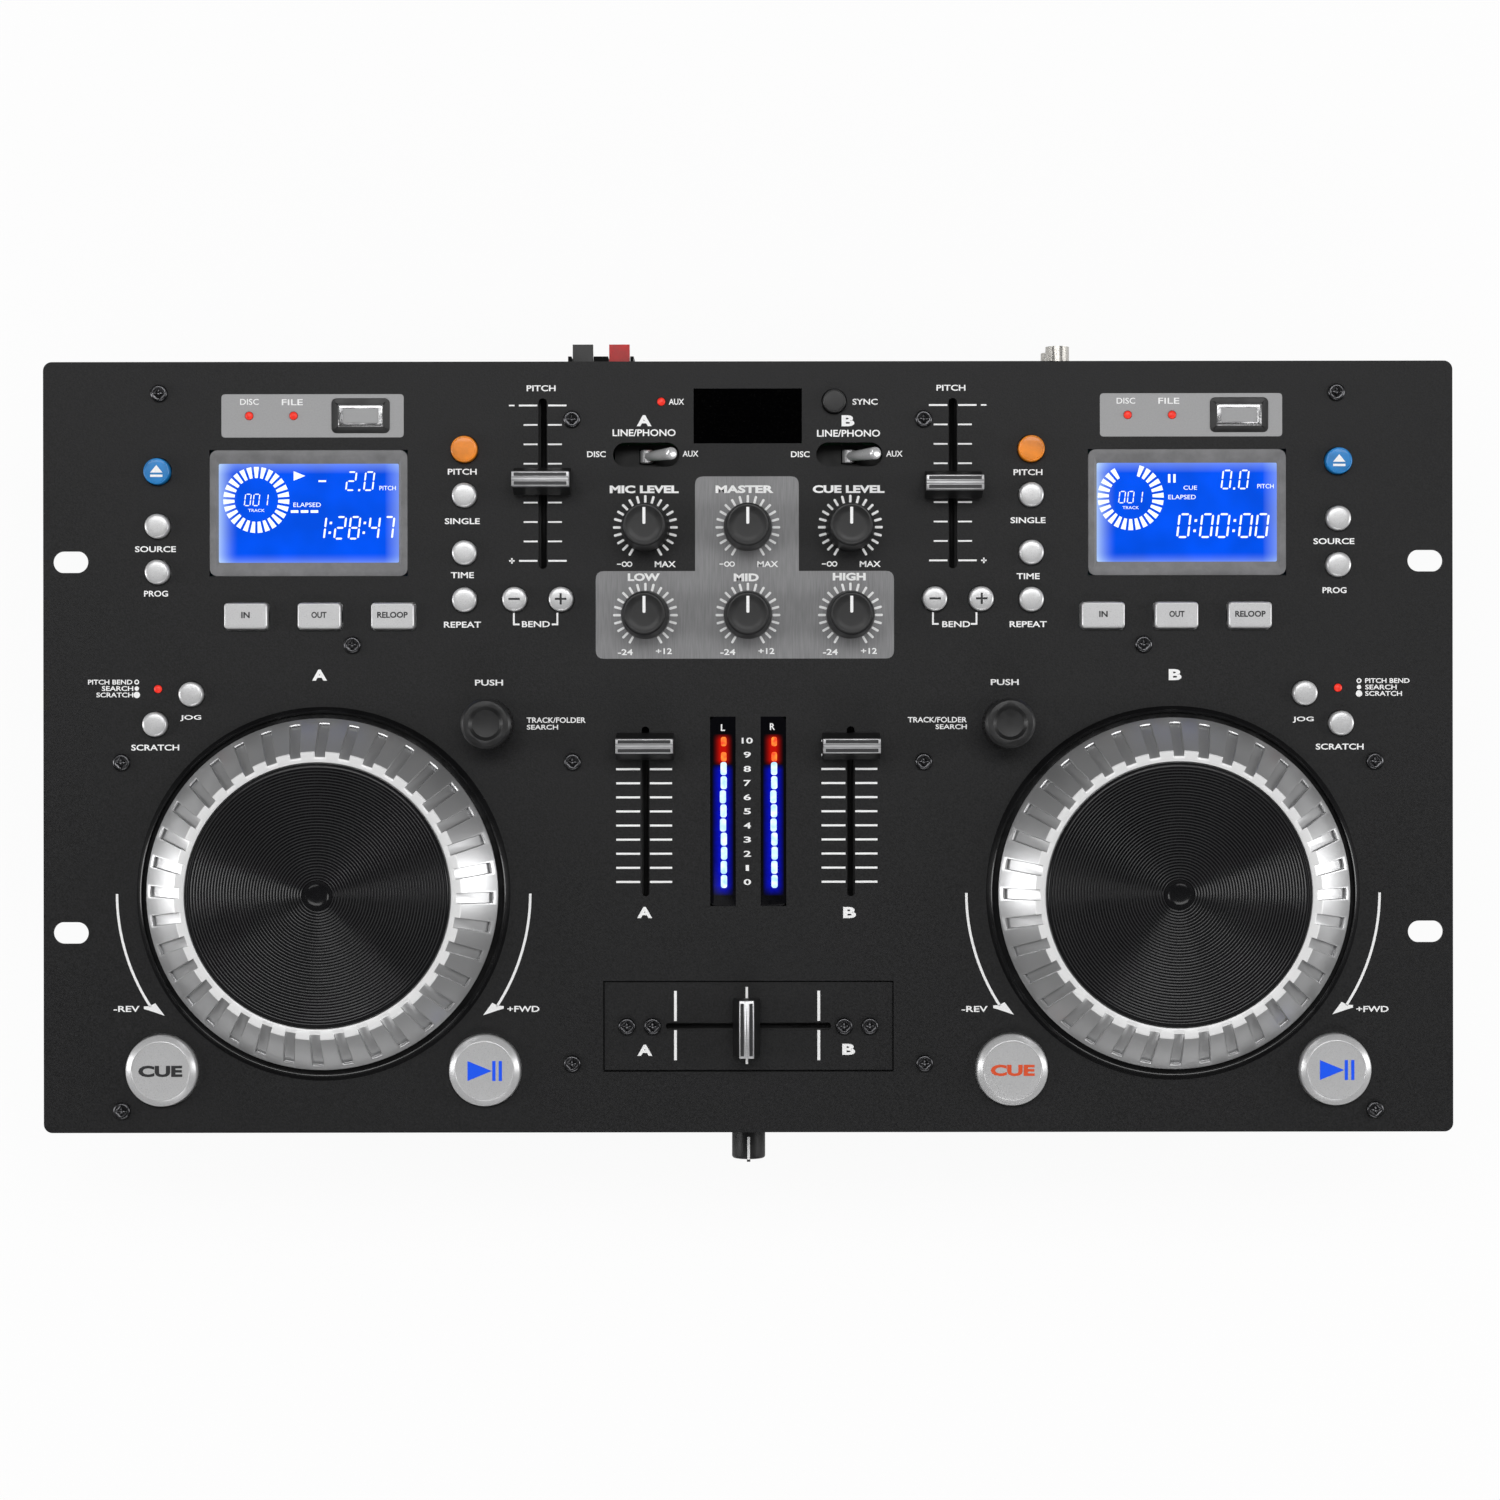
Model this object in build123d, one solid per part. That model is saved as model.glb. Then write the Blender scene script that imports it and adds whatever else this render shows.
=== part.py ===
"""Twin disc deck and two channel mixer console for a 19 inch rack, 6 units deep, as separate pieces.

Millimetres. The origin is under the middle of the top panel, on the table that the feet stand on.
+X is the user's right, +Y goes to the rear and +Z is up. Deck a is on the left and deck b on the right.
"""

from build123d import *
from math import sqrt
import os

# ---- Driving dimensions: top panel and case ---------------------------------------------------
PANEL_WIDTH = 482.6
PANEL_DEPTH = 264.0
PANEL_THICKNESS = 2.0
PANEL_CORNER = 3.0
CASE_WIDTH = 436.0
CASE_DEPTH = 261.0
CASE_HEIGHT = 78.0
CASE_WALL = 1.2
FOOT_HEIGHT = 6.0
FOOT_RADIUS = 11.0
FOOT_CHAMFER = 1.5
FOOT_X = 185.0
FOOT_Y = 100.0

RACK_SLOT_LENGTH = 12.25
RACK_SLOT_WIDTH = 7.4
RACK_SPACING_X = 464.0
RACK_SPACING_Y = 127.0

# ---- Driving dimensions: fits and clearances --------------------------------------------------
HOLE_GAP = 0.42          # around a button in its hole, on each side
SLIDE_GAP = 0.3          # between faces that move past each other
SHAFT_GAP = 0.05         # around a shaft in its bush
LEDGE_GAP = 0.4          # around a plate in its recess

# ---- Driving dimensions: control board --------------------------------------------------------
BOARD_DROP = 10.0        # from the underside of the panel to the top of the board
BOARD_THICKNESS = 1.6
BOARD_MARGIN = 6.0       # board beyond the outermost part it carries
SWITCH_SIDE = 6.0
SWITCH_HEIGHT = 4.3

# ---- Driving dimensions: buttons --------------------------------------------------------------
BUTTON_DIAMETER = 8.35
BUTTON_PROUD = 3.0
BUTTON_TRAVEL = 0.8
BUTTON_ROUND = 0.9
BUTTON_RIM = 1.2         # of the flange that keeps a button from falling out
FLANGE_THICKNESS = 1.2
STEM_DIAMETER = 4.0
COLOUR_BUTTON_DIAMETER = 9.0
SYNC_DIAMETER = 8.0
CUE_DIAMETER = 24.4
CUE_FACE_DIAMETER = 20.0
CUE_PROUD = 4.2
CUE_BEVEL = 1.5
CUE_TRAVEL = 1.2
KEY_WIDTH = 14.8
KEY_DEPTH = 8.9
KEY_CORNER = 1.2
KEY_PITCH = 25.1
KEY_BAR_DEPTH = 4.0

# ---- Driving dimensions: places of the deck controls, outwards from the middle ----------------
DECK_X = 145.4
EDGE_KEY_X = 202.0
EJECT_Y = {"a": 94.4, "b": 97.6}
SOURCE_Y = {"a": 75.7, "b": 78.0}
PROGRAM_Y = {"a": 60.0, "b": 62.1}
PLAY_MODE_X = 97.0
PITCH_ON_Y = 101.9
SINGLE_Y = 86.2
TIME_Y = 66.5
REPEAT_Y = 50.4
LOOP_X = 146.5
LOOP_Y = 44.9
BEND_X = 71.9
BEND_PITCH = 15.9
BEND_Y = 50.6
PITCH_FADER_X = 70.2
PITCH_FADER_Y = 90.2
PITCH_SLOT_LENGTH = 58.4
PITCH_SLOT_WIDTH = 2.9
PITCH_REST = {"a": 0.5, "b": -0.8}
TRACK_KNOB_X = 88.6
TRACK_KNOB_Y = 7.9
JOG_MODE_X = 190.5
JOG_MODE_Y = 18.2
SCRATCH_X = 202.9
SCRATCH_Y = 7.9
JOG_LAMP_Y = 20.0
CUE_SPREAD = 55.25
CUE_Y = -110.5

# ---- Driving dimensions: displays, lamps and memory ports -------------------------------------
LCD_X = 150.4
LCD_Y = 80.2
LCD_FRAME_WIDTH = 67.9
LCD_FRAME_DEPTH = 43.3
LCD_WINDOW_WIDTH = 61.8
LCD_WINDOW_DEPTH = 33.9
LCD_RECESS = 0.8
PORT_PLATE_X = {"a": -149.0, "b": 151.8}
PORT_PLATE_Y = 113.5
PORT_X = 16.45
LAMP_X = (-21.7, -6.5)
LAMP_DIAMETER = 3.0
PORT_FRAME_WIDTH = 20.0
PORT_FRAME_DEPTH = 12.0
PORT_SHELL_WIDTH = 13.2
PORT_SHELL_DEPTH = 5.9
PORT_WALL = 0.4
PORT_TONGUE_DEPTH = 2.0
PORT_BODY_DEPTH = 12.0

# ---- Driving dimensions: mixer ----------------------------------------------------------------
SYNC_X = 29.6
SYNC_Y = 118.2
MIXER_WINDOW_WIDTH = 37.1
MIXER_WINDOW_DEPTH = 18.8
MIXER_WINDOW_Y = 113.3
TOGGLE_X = 34.8
TOGGLE_Y = 100.1
TOGGLE_SLOT_LENGTH = 22.7
TOGGLE_SLOT_WIDTH = 8.3
TOGGLE_LEVER = 17.0
TOGGLE_TIP_DIAMETER = 4.3
TOGGLE_NECK_DIAMETER = 3.8
TOGGLE_BARREL_DIAMETER = 4.6
TOGGLE_BARREL_LENGTH = 4.6
TOGGLE_LEAN = 33.0
TOGGLE_PIVOT_DROP = 9.0  # below the top face of the panel
TOGGLE_BODY_HEIGHT = 9.2
KNOB_PITCH_X = 35.1
KNOB_ROW_Y = {"upper": 75.15, "lower": 45.1}
KNOB_DIAMETER = 16.4
KNOB_TOP_DIAMETER = 14.4
KNOB_HEIGHT = 14.0
KNOB_SKIRT = 2.8         # upright edge of a knob
KNOB_CROWN = 3.5         # from the end of the shaft to the top of a knob
KNOB_GAP = 1.0
SHAFT_DIAMETER = 6.0
POT_SIDE = 10.0
POT_HEIGHT = 6.5
TRACK_KNOB_DIAMETER = 17.0
TRACK_KNOB_HEIGHT = 15.0
TRACK_KNOB_DISH = 11.6
TRACK_KNOB_HOLLOW = 1.2
TRACK_KNOB_FLUTES = 30
FLUTE_DIAMETER = 0.9
FLUTE_OFFSET = 0.15      # of a flute's axis outside the knob
CHANNEL_X = 35.15
CHANNEL_Y = -22.1
CHANNEL_SLOT_LENGTH = 58.2
CHANNEL_SLOT_WIDTH = 2.7
CHANNEL_REST = 22.3
METER_X = 8.65
METER_WIDTH = 8.75
METER_DEPTH = 64.9
CROSS_Y = -95.7
CROSS_REST = -0.6
CROSS_PLATE_WIDTH = 98.7
CROSS_PLATE_DEPTH = 30.3
CROSS_PLATE_THICKNESS = 1.5
CROSS_RECESS = 0.6
CROSS_SLOT_LENGTH = 56.6
CROSS_SLOT_WIDTH = 2.6
CROSS_SCREW_X = (41.6, 32.8)

# ---- Driving dimensions: faders ---------------------------------------------------------------
CAP_LENGTH = 19.6
CAP_FOOT = 9.2
CAP_TOP = 5.0
CAP_HEIGHT = 13.0
CAP_WAIST = 8.0
CAP_RIDGE = 0.9
CAP_SOLE = 1.4           # upright edge of the foot
CAP_GAP = 2.0            # clears the screw heads that the caps pass over
STEM_THICKNESS = 1.2
STEM_BREADTH = 4.0
FADER_BODY_WIDTH = 9.0
FADER_BODY_HEIGHT = 7.0
FADER_WALL = 2.0
FADER_END_ROOM = 6.0
CROSS_END_ROOM = 2.5     # ends the crossfader body short of the plate screws

# ---- Driving dimensions: jog wheels -----------------------------------------------------------
JOG_Y = -50.15
JOG_BEZEL_DIAMETER = 128.0
JOG_BEZEL_HEIGHT = 2.6
JOG_BEZEL_LAND = 0.6
JOG_BEZEL_SLOPE = 1.7
JOG_FLOOR = 1.0
JOG_DIAMETER = 120.0
JOG_RIM_HEIGHT = 4.0     # top of the upright rim, over the panel
JOG_SHOULDER_DIAMETER = 97.2
JOG_RING_HEIGHT = 16.3
JOG_PLATTER_DIAMETER = 90.0
JOG_HEIGHT = 17.0
JOG_PLATTER_THICKNESS = 2.2
JOG_SHELL = 2.6
JOG_LIFT = 1.0           # between the floor of the well and the wheel
JOG_NOTCHES = 36
JOG_NOTCH_WIDTH = 3.6
JOG_NOTCH_DEPTH = 1.4
JOG_NOTCH_END = 116.0    # diameter where a notch stops
JOG_NOTCH_LEDGE = 0.9
JOG_DIMPLE_DIAMETER = 8.0
JOG_DIMPLE_DEPTH = 0.6
JOG_SHAFT_DIAMETER = 8.0
JOG_BOSS_DIAMETER = 18.0
JOG_BOSS_DEPTH = 20.0    # from the top of the panel to the foot of the boss
JOG_SHAFT_TAIL = 2.0     # of shaft below the boss

# ---- Driving dimensions: front face -----------------------------------------------------------
FRONT_AXIS_DROP = 26.0   # below the top face of the panel
FRONT_KNOB_DIAMETER = 11.6
FRONT_KNOB_LENGTH = 12.4
JACK_X = 35.0
JACK_BORE = 6.4
JACK_NUT_DIAMETER = 12.0
JACK_NUT_HEIGHT = 2.0
JACK_NECK_DIAMETER = 9.0
JACK_BODY_SIDE = 14.0
JACK_DEPTH = 18.0
FRONT_BOARD_WIDTH = 96.0
FRONT_BOARD_HEIGHT = 26.0

TRAY_WIDTH = 128.0
TRAY_LENGTH = 148.0
TRAY_THICKNESS = 7.0
TRAY_BASE_HEIGHT = 26.0  # underside of the tray over the table
TRAY_TRAVEL = 130.0
TRAY_BEZEL_WIDTH = 134.0
TRAY_BEZEL_HEIGHT = 16.0
TRAY_BEZEL_THICKNESS = 3.0
TRAY_GAP = 1.0
TRAY_CORNER = 3.0
DISC_DIAMETER = 120.0
DISC_CLEARANCE = 1.0
DISC_POCKET_DEPTH = 2.5
TRAY_WINDOW_WIDTH = 40.0

# ---- Driving dimensions: disc drive -----------------------------------------------------------
DRIVE_SIDE_GAP = 3.5     # between a tray and the side of its drive
DRIVE_LENGTH = 186.0
DRIVE_WALL = 1.5
DRIVE_BASE_HEIGHT = 12.0
DRIVE_HEIGHT = 36.0
DRIVE_FRONT_GAP = 2.0
BRIDGE_DEPTH = 26.0
SPINDLE_DIAMETER = 30.0
CLAMP_DIAMETER = 34.0
CLAMP_THICKNESS = 3.0
SLED_LENGTH = 34.0
SLED_WIDTH = 18.0
POST_DIAMETER = 8.0

# ---- Driving dimensions: rear face ------------------------------------------------------------
PHONO_X = 107.7
PHONO_Z = (68.0, 50.0)
PHONO_DIAMETER = 8.2
PHONO_BORE = 3.2
PHONO_REACH = 8.4
PHONO_NECK_DIAMETER = 7.0
PHONO_BLOCK_WIDTH = 13.0
PHONO_BLOCK_HEIGHT = 36.0
PHONO_BLOCK_REACH = 1.2
TERMINAL_X = -51.0
TERMINAL_WIDTH = 22.8
TERMINAL_BASE_HEIGHT = 50.0
TERMINAL_HEIGHT = 20.0
TERMINAL_REACH = 5.2
LEVER_PITCH = 12.7
LEVER_WIDTH = 7.1
LEVER_REACH = 4.4
LEVER_THICKNESS = 2.4
LEVER_LENGTH = 12.0
LEVER_PIN_DIAMETER = 3.0
WIRE_HOLE_DIAMETER = 2.6
INLET_X = 183.0
INLET_Z = 50.0
INLET_WIDTH = 27.0
INLET_HEIGHT = 20.0
INLET_LIP = 3.0
INLET_LIP_REACH = 2.0
INLET_WALL = 2.0
INLET_DEPTH = 16.0
INLET_PIN_SPREAD = 7.0
INLET_PIN_LENGTH = 11.0
ROCKER_X = 136.0
ROCKER_Z = 60.0
ROCKER_WIDTH = 10.0
ROCKER_HEIGHT = 17.0
ROCKER_LIP = 2.0
ROCKER_LIP_REACH = 1.6
ROCKER_DEPTH = 14.0
ROCKER_REACH = 3.4       # of the rocker's ends from its axis
ROCKER_DIP = 2.2         # of the rocker's middle from its axis
ROCKER_BACK = 4.8
ROCKER_SHOULDER = 1.6    # from the rocker's ends to its widest place
ROCKER_LEAN = 9.0
ROCKER_PIN_DIAMETER = 3.0
ROCKER_PIN_REACH = 0.2   # of the pin past each side of the rocker

# ---- Driving dimensions: boards, vents and fasteners ------------------------------------------
MAIN_BOARD_WIDTH = 124.0
MAIN_BOARD_DEPTH = 96.0
MAIN_BOARD_Y = 62.0
SUPPLY_BOARD_DEPTH = 76.0
SUPPLY_BOARD_Y = -44.0
CORE_WIDTH = 54.0
CORE_DEPTH = 44.0
CORE_HEIGHT = 32.0
FLOOR_POST = 6.0
VENT_COUNT = 9
VENT_PITCH = 9.0
VENT_WIDTH = 3.0
VENT_HEIGHT = 34.0
VENT_Y = 40.0
SCREW_DIAMETER = 3.0
SCREW_LENGTH = 8.0
SCREW_HEAD_DIAMETER = 5.9
SCREW_HEAD_HEIGHT = 1.6
SCREW_CROSS = 0.8
SCREW_CROSS_LENGTH = 3.5
STANDOFF_DIAMETER = 6.0
TAB_WIDTH = 10.0
TAB_REACH_SIDE = 5.6
TAB_REACH_REAR = 15.0
SIDE_SCREW_INSET = 3.5
REAR_SCREW_INSET = 16.5
SIDE_SCREW_X = CASE_WIDTH / 2 - SIDE_SCREW_INSET
CASE_SCREWS = ((SIDE_SCREW_X, -5.1), (SIDE_SCREW_X, -124.4))
REAR_SCREWS = ((CASE_WIDTH / 2 - REAR_SCREW_INSET, 121.2),)
CUE_BOARD_SCREW = (60.3, -108.4)
BOARD_SCREWS = ((60.2, 112.2), (135.4, 35.0), (60.1, -5.1), CUE_BOARD_SCREW)

# ---- Heights and places that follow -----------------------------------------------------------
CASE_TOP = FOOT_HEIGHT + CASE_HEIGHT
FLOOR_TOP = FOOT_HEIGHT + CASE_WALL
PANEL_TOP = CASE_TOP + PANEL_THICKNESS
BOARD_TOP = CASE_TOP - BOARD_DROP
BOARD_BOTTOM = BOARD_TOP - BOARD_THICKNESS
SWITCH_TOP = BOARD_TOP + SWITCH_HEIGHT
FLANGE_TOP = CASE_TOP - SLIDE_GAP
FLANGE_BOTTOM = FLANGE_TOP - FLANGE_THICKNESS
KNOB_BOTTOM = PANEL_TOP + KNOB_GAP
POT_TOP = BOARD_TOP + POT_HEIGHT
FADER_TOP = BOARD_TOP + FADER_BODY_HEIGHT
CAP_BOTTOM = PANEL_TOP + CAP_GAP
FRONT_WALL = -CASE_DEPTH / 2
REAR_WALL = CASE_DEPTH / 2
FRONT_AXIS_Z = PANEL_TOP - FRONT_AXIS_DROP
SIDES = {"a": -1, "b": 1}
CROSS_PLATE_TOP = PANEL_TOP - CROSS_RECESS
CROSS_PLATE_BOTTOM = CROSS_PLATE_TOP - CROSS_PLATE_THICKNESS
CROSS_POCKET_WIDTH = CROSS_PLATE_WIDTH + 2 * LEDGE_GAP
CROSS_POCKET_DEPTH = CROSS_PLATE_DEPTH + 2 * LEDGE_GAP
CROSS_PAN_BOTTOM = CROSS_PLATE_BOTTOM - PANEL_THICKNESS
TRAY_TOP = TRAY_BASE_HEIGHT + TRAY_THICKNESS
DRIVE_WIDTH = TRAY_WIDTH + 2 * (DRIVE_SIDE_GAP + DRIVE_WALL)
TRAY_BEZEL_BOTTOM = TRAY_BASE_HEIGHT + TRAY_THICKNESS / 2 - TRAY_BEZEL_HEIGHT / 2


# ---- Small helpers ----------------------------------------------------------------------------
def block(width, depth, low, high, x=0.0, y=0.0):
    """An upright box between two heights, centred on x and y."""
    return Pos(x, y, (low + high) / 2) * Box(width, depth, high - low)


def disc(diameter, low, high, x=0.0, y=0.0):
    """An upright cylinder between two heights."""
    return Pos(x, y, (low + high) / 2) * Cylinder(diameter / 2, high - low)


def slab(outline, low, high, x=0.0, y=0.0):
    """A flat outline made solid between two heights."""
    return Pos(x, y, low) * extrude(outline, high - low)


def bar_y(diameter, near, far, x, z):
    """A round bar along Y between two places."""
    return Pos(x, (near + far) / 2, z) * Rot(90, 0, 0) * Cylinder(diameter / 2, abs(far - near))


def turned(points, x=0.0, y=0.0):
    """A solid turned about an upright axis from its (radius, height) outline."""
    outline = Polyline(*[(radius, 0, height) for radius, height in points], close=True)
    return Pos(x, y, 0) * revolve(make_face(outline), Axis.Z, 360)


def prism_x(points, width, x=0.0):
    """A solid with a (y, z) outline, as wide as given along X."""
    outline = Polyline(*[(0, y, z) for y, z in points], close=True)
    return Pos(x - width / 2, 0, 0) * extrude(make_face(outline), width, dir=(1, 0, 0))


def group(*pieces):
    """Separate solids that share a node."""
    return Compound([solid for piece in pieces for solid in piece.solids()])


# ---- Where the controls are -------------------------------------------------------------------
def round_button_places():
    """Name, place and diameter of every small round button."""
    places = {"sync": (SYNC_X, SYNC_Y, SYNC_DIAMETER)}
    for deck, side in SIDES.items():
        silver = {
            "source": (side * EDGE_KEY_X, SOURCE_Y[deck]),
            "program": (side * EDGE_KEY_X, PROGRAM_Y[deck]),
            "single": (side * PLAY_MODE_X, SINGLE_Y),
            "time": (side * PLAY_MODE_X, TIME_Y),
            "repeat": (side * PLAY_MODE_X, REPEAT_Y),
            "jog_mode": (side * JOG_MODE_X, JOG_MODE_Y),
            "scratch": (side * SCRATCH_X, SCRATCH_Y),
            "bend_minus": (side * BEND_X - BEND_PITCH / 2, BEND_Y),
            "bend_plus": (side * BEND_X + BEND_PITCH / 2, BEND_Y),
        }
        coloured = {
            "eject": (side * EDGE_KEY_X, EJECT_Y[deck]),
            "pitch_on": (side * PLAY_MODE_X, PITCH_ON_Y),
        }
        for name, (x, y) in silver.items():
            places[f"{name}_{deck}"] = (x, y, BUTTON_DIAMETER)
        for name, (x, y) in coloured.items():
            places[f"{name}_{deck}"] = (x, y, COLOUR_BUTTON_DIAMETER)
    return places


def cue_places():
    """Name and place of the big cue and play buttons."""
    places = {}
    for deck, side in SIDES.items():
        places[f"cue_{deck}"] = (side * DECK_X - CUE_SPREAD, CUE_Y)
        places[f"play_{deck}"] = (side * DECK_X + CUE_SPREAD, CUE_Y)
    return places


def knob_places():
    """Name and place of the six mixer knobs."""
    rows = {"upper": ("mic", "master", "cue_level"), "lower": ("low", "mid", "high")}
    places = {}
    for row, names in rows.items():
        for column, name in enumerate(names):
            places[f"knob_{name}"] = ((column - 1) * KNOB_PITCH_X, KNOB_ROW_Y[row])
    return places


def fader_places():
    """Name, middle of the slot, slot length and width, and rest place of the upright faders."""
    places = {}
    for deck, side in SIDES.items():
        places[f"pitch_fader_{deck}"] = (
            side * PITCH_FADER_X, PITCH_FADER_Y, PITCH_SLOT_LENGTH, PITCH_SLOT_WIDTH, PITCH_REST[deck])
        places[f"channel_fader_{deck}"] = (
            side * CHANNEL_X, CHANNEL_Y, CHANNEL_SLOT_LENGTH, CHANNEL_SLOT_WIDTH, CHANNEL_REST)
    return places


def lamp_places():
    """Place of every red lamp."""
    places = [(-SYNC_X, SYNC_Y)]
    for deck, side in SIDES.items():
        places.append((side * EDGE_KEY_X, JOG_LAMP_Y))
        places += [(PORT_PLATE_X[deck] + offset, PORT_PLATE_Y) for offset in LAMP_X]
    return places


def mirrored(places):
    """The same places on both sides of the middle."""
    return [(side * x, y) for x, y in places for side in SIDES.values()]


def key_centres(side):
    """X of the three loop keys of a deck."""
    return [side * LOOP_X + step * KEY_PITCH for step in (-1, 0, 1)]


# ---- Top panel and case -----------------------------------------------------------------------
def top_panel():
    """The rack panel with every hole for the controls, and the pressed pan of the crossfader."""
    face = RectangleRounded(PANEL_WIDTH, PANEL_DEPTH, PANEL_CORNER)
    rack = SlotOverall(RACK_SLOT_LENGTH, RACK_SLOT_WIDTH)
    holes = [Pos(sx * RACK_SPACING_X / 2, sy * RACK_SPACING_Y / 2) * rack for sx in (-1, 1) for sy in (-1, 1)]
    for x, y, diameter in round_button_places().values():
        holes.append(Pos(x, y) * Circle(diameter / 2 + HOLE_GAP))
    for x, y in cue_places().values():
        holes.append(Pos(x, y) * Circle(CUE_DIAMETER / 2 + HOLE_GAP))
    for x, y in knob_places().values():
        holes.append(Pos(x, y) * Circle(SHAFT_DIAMETER / 2 + SLIDE_GAP))
    for x, y, length, width, _ in fader_places().values():
        holes.append(Pos(x, y) * SlotOverall(length, width, rotation=90))
    for x, y in lamp_places():
        holes.append(Pos(x, y) * Circle(LAMP_DIAMETER / 2))
    for x, y in mirrored(CASE_SCREWS + REAR_SCREWS + BOARD_SCREWS):
        holes.append(Pos(x, y) * Circle(SCREW_DIAMETER / 2))
    for deck, side in SIDES.items():
        key = RectangleRounded(KEY_WIDTH + 2 * HOLE_GAP, KEY_DEPTH + 2 * HOLE_GAP, KEY_CORNER + HOLE_GAP)
        holes += [Pos(x, LOOP_Y) * key for x in key_centres(side)]
        holes.append(Pos(side * LCD_X, LCD_Y) * Rectangle(LCD_FRAME_WIDTH, LCD_FRAME_DEPTH))
        port = Rectangle(PORT_FRAME_WIDTH, PORT_FRAME_DEPTH)
        holes.append(Pos(PORT_PLATE_X[deck] + PORT_X, PORT_PLATE_Y) * port)
        holes.append(Pos(side * TRACK_KNOB_X, TRACK_KNOB_Y) * Circle(SHAFT_DIAMETER / 2 + SLIDE_GAP))
        holes.append(Pos(side * DECK_X, JOG_Y) * Circle(JOG_BOSS_DIAMETER / 2))
        holes.append(Pos(side * TOGGLE_X, TOGGLE_Y) * SlotOverall(TOGGLE_SLOT_LENGTH, TOGGLE_SLOT_WIDTH))
        holes.append(Pos(side * METER_X, CHANNEL_Y) * Rectangle(METER_WIDTH, METER_DEPTH))
    holes.append(Pos(0, MIXER_WINDOW_Y) * Rectangle(MIXER_WINDOW_WIDTH, MIXER_WINDOW_DEPTH))
    sheet = slab(face - holes, CASE_TOP, PANEL_TOP)
    wall = 2 * PANEL_THICKNESS
    pan = block(CROSS_POCKET_WIDTH + wall, CROSS_POCKET_DEPTH + wall, CROSS_PAN_BOTTOM, CASE_TOP, 0, CROSS_Y)
    pocket = block(CROSS_POCKET_WIDTH, CROSS_POCKET_DEPTH, CROSS_PLATE_BOTTOM, PANEL_TOP, 0, CROSS_Y)
    fader_way = 2 * CROSS_SCREW_X[1] + STANDOFF_DIAMETER
    window = block(fader_way, FADER_BODY_WIDTH + FADER_END_ROOM, CROSS_PAN_BOTTOM, PANEL_TOP, 0, CROSS_Y)
    screw_holes = [disc(SCREW_DIAMETER, CROSS_PAN_BOTTOM, PANEL_TOP, side * CROSS_SCREW_X[0], CROSS_Y)
                   for side in SIDES.values()]
    return sheet + pan - pocket - window - screw_holes


def case_tub():
    """Folded steel tub with tabs for the panel screws, and the openings of both faces."""
    tub = block(CASE_WIDTH, CASE_DEPTH, FOOT_HEIGHT, CASE_TOP)
    tub -= block(CASE_WIDTH - 2 * CASE_WALL, CASE_DEPTH - 2 * CASE_WALL, FLOOR_TOP, CASE_TOP)
    tab_low = CASE_TOP - CASE_WALL
    for x, y in mirrored(CASE_SCREWS):
        edge = CASE_WIDTH / 2 if x > 0 else -CASE_WIDTH / 2
        reach = TAB_REACH_SIDE if x > 0 else -TAB_REACH_SIDE
        tub += block(TAB_REACH_SIDE, TAB_WIDTH, tab_low, CASE_TOP, edge - reach / 2, y)
    for x, y in mirrored(REAR_SCREWS):
        tub += block(TAB_WIDTH, TAB_REACH_REAR, tab_low, CASE_TOP, x, REAR_WALL - TAB_REACH_REAR / 2)
    for x, y in mirrored(CASE_SCREWS + REAR_SCREWS):
        tub -= disc(SCREW_DIAMETER, tab_low, CASE_TOP, x, y)
    for side in SIDES.values():
        low = TRAY_BASE_HEIGHT - TRAY_GAP
        mouth = TRAY_WIDTH + 2 * TRAY_GAP
        tub -= block(mouth, 4 * CASE_WALL, low, TRAY_TOP + TRAY_GAP, side * DECK_X, FRONT_WALL)
        for vent in range(VENT_COUNT):
            y = VENT_Y + (vent - (VENT_COUNT - 1) / 2) * VENT_PITCH
            middle = FOOT_HEIGHT + CASE_HEIGHT / 2
            slot = SlotOverall(VENT_HEIGHT, VENT_WIDTH, rotation=90)
            cut = extrude(slot, 2 * CASE_WALL, both=True)
            tub -= Pos(side * CASE_WIDTH / 2, y, middle) * Rot(0, 0, 90) * Rot(90, 0, 0) * cut
    for x in (-JACK_X, 0, JACK_X):
        bore = JACK_NECK_DIAMETER if x else SHAFT_DIAMETER + 2 * SLIDE_GAP
        tub -= bar_y(bore, FRONT_WALL - CASE_WALL, FRONT_WALL + 2 * CASE_WALL, x, FRONT_AXIS_Z)
    openings = (
        (INLET_X, INLET_Z, INLET_WIDTH, INLET_HEIGHT),
        (ROCKER_X, ROCKER_Z, ROCKER_WIDTH + 2 * ROCKER_LIP, ROCKER_HEIGHT + 2 * ROCKER_LIP),
        (TERMINAL_X, TERMINAL_BASE_HEIGHT + TERMINAL_HEIGHT / 2, TERMINAL_WIDTH, TERMINAL_HEIGHT),
    )
    for x, z, width, height in openings:
        tub -= block(width, 4 * CASE_WALL, z - height / 2, z + height / 2, x, REAR_WALL)
    for z in PHONO_Z:
        tub -= bar_y(PHONO_NECK_DIAMETER, REAR_WALL - 2 * CASE_WALL, REAR_WALL + CASE_WALL, PHONO_X, z)
    return tub


def rubber_feet():
    """Four feet with a sunk fixing hole."""
    feet = []
    for x, y in mirrored(((FOOT_X, FOOT_Y), (FOOT_X, -FOOT_Y))):
        foot = disc(2 * FOOT_RADIUS, 0, FOOT_HEIGHT, x, y)
        foot = chamfer(foot.edges().group_by(Axis.Z)[0], FOOT_CHAMFER)
        feet.append(foot - disc(SCREW_HEAD_DIAMETER, 0, FOOT_HEIGHT / 2, x, y))
    return group(*feet)


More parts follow.
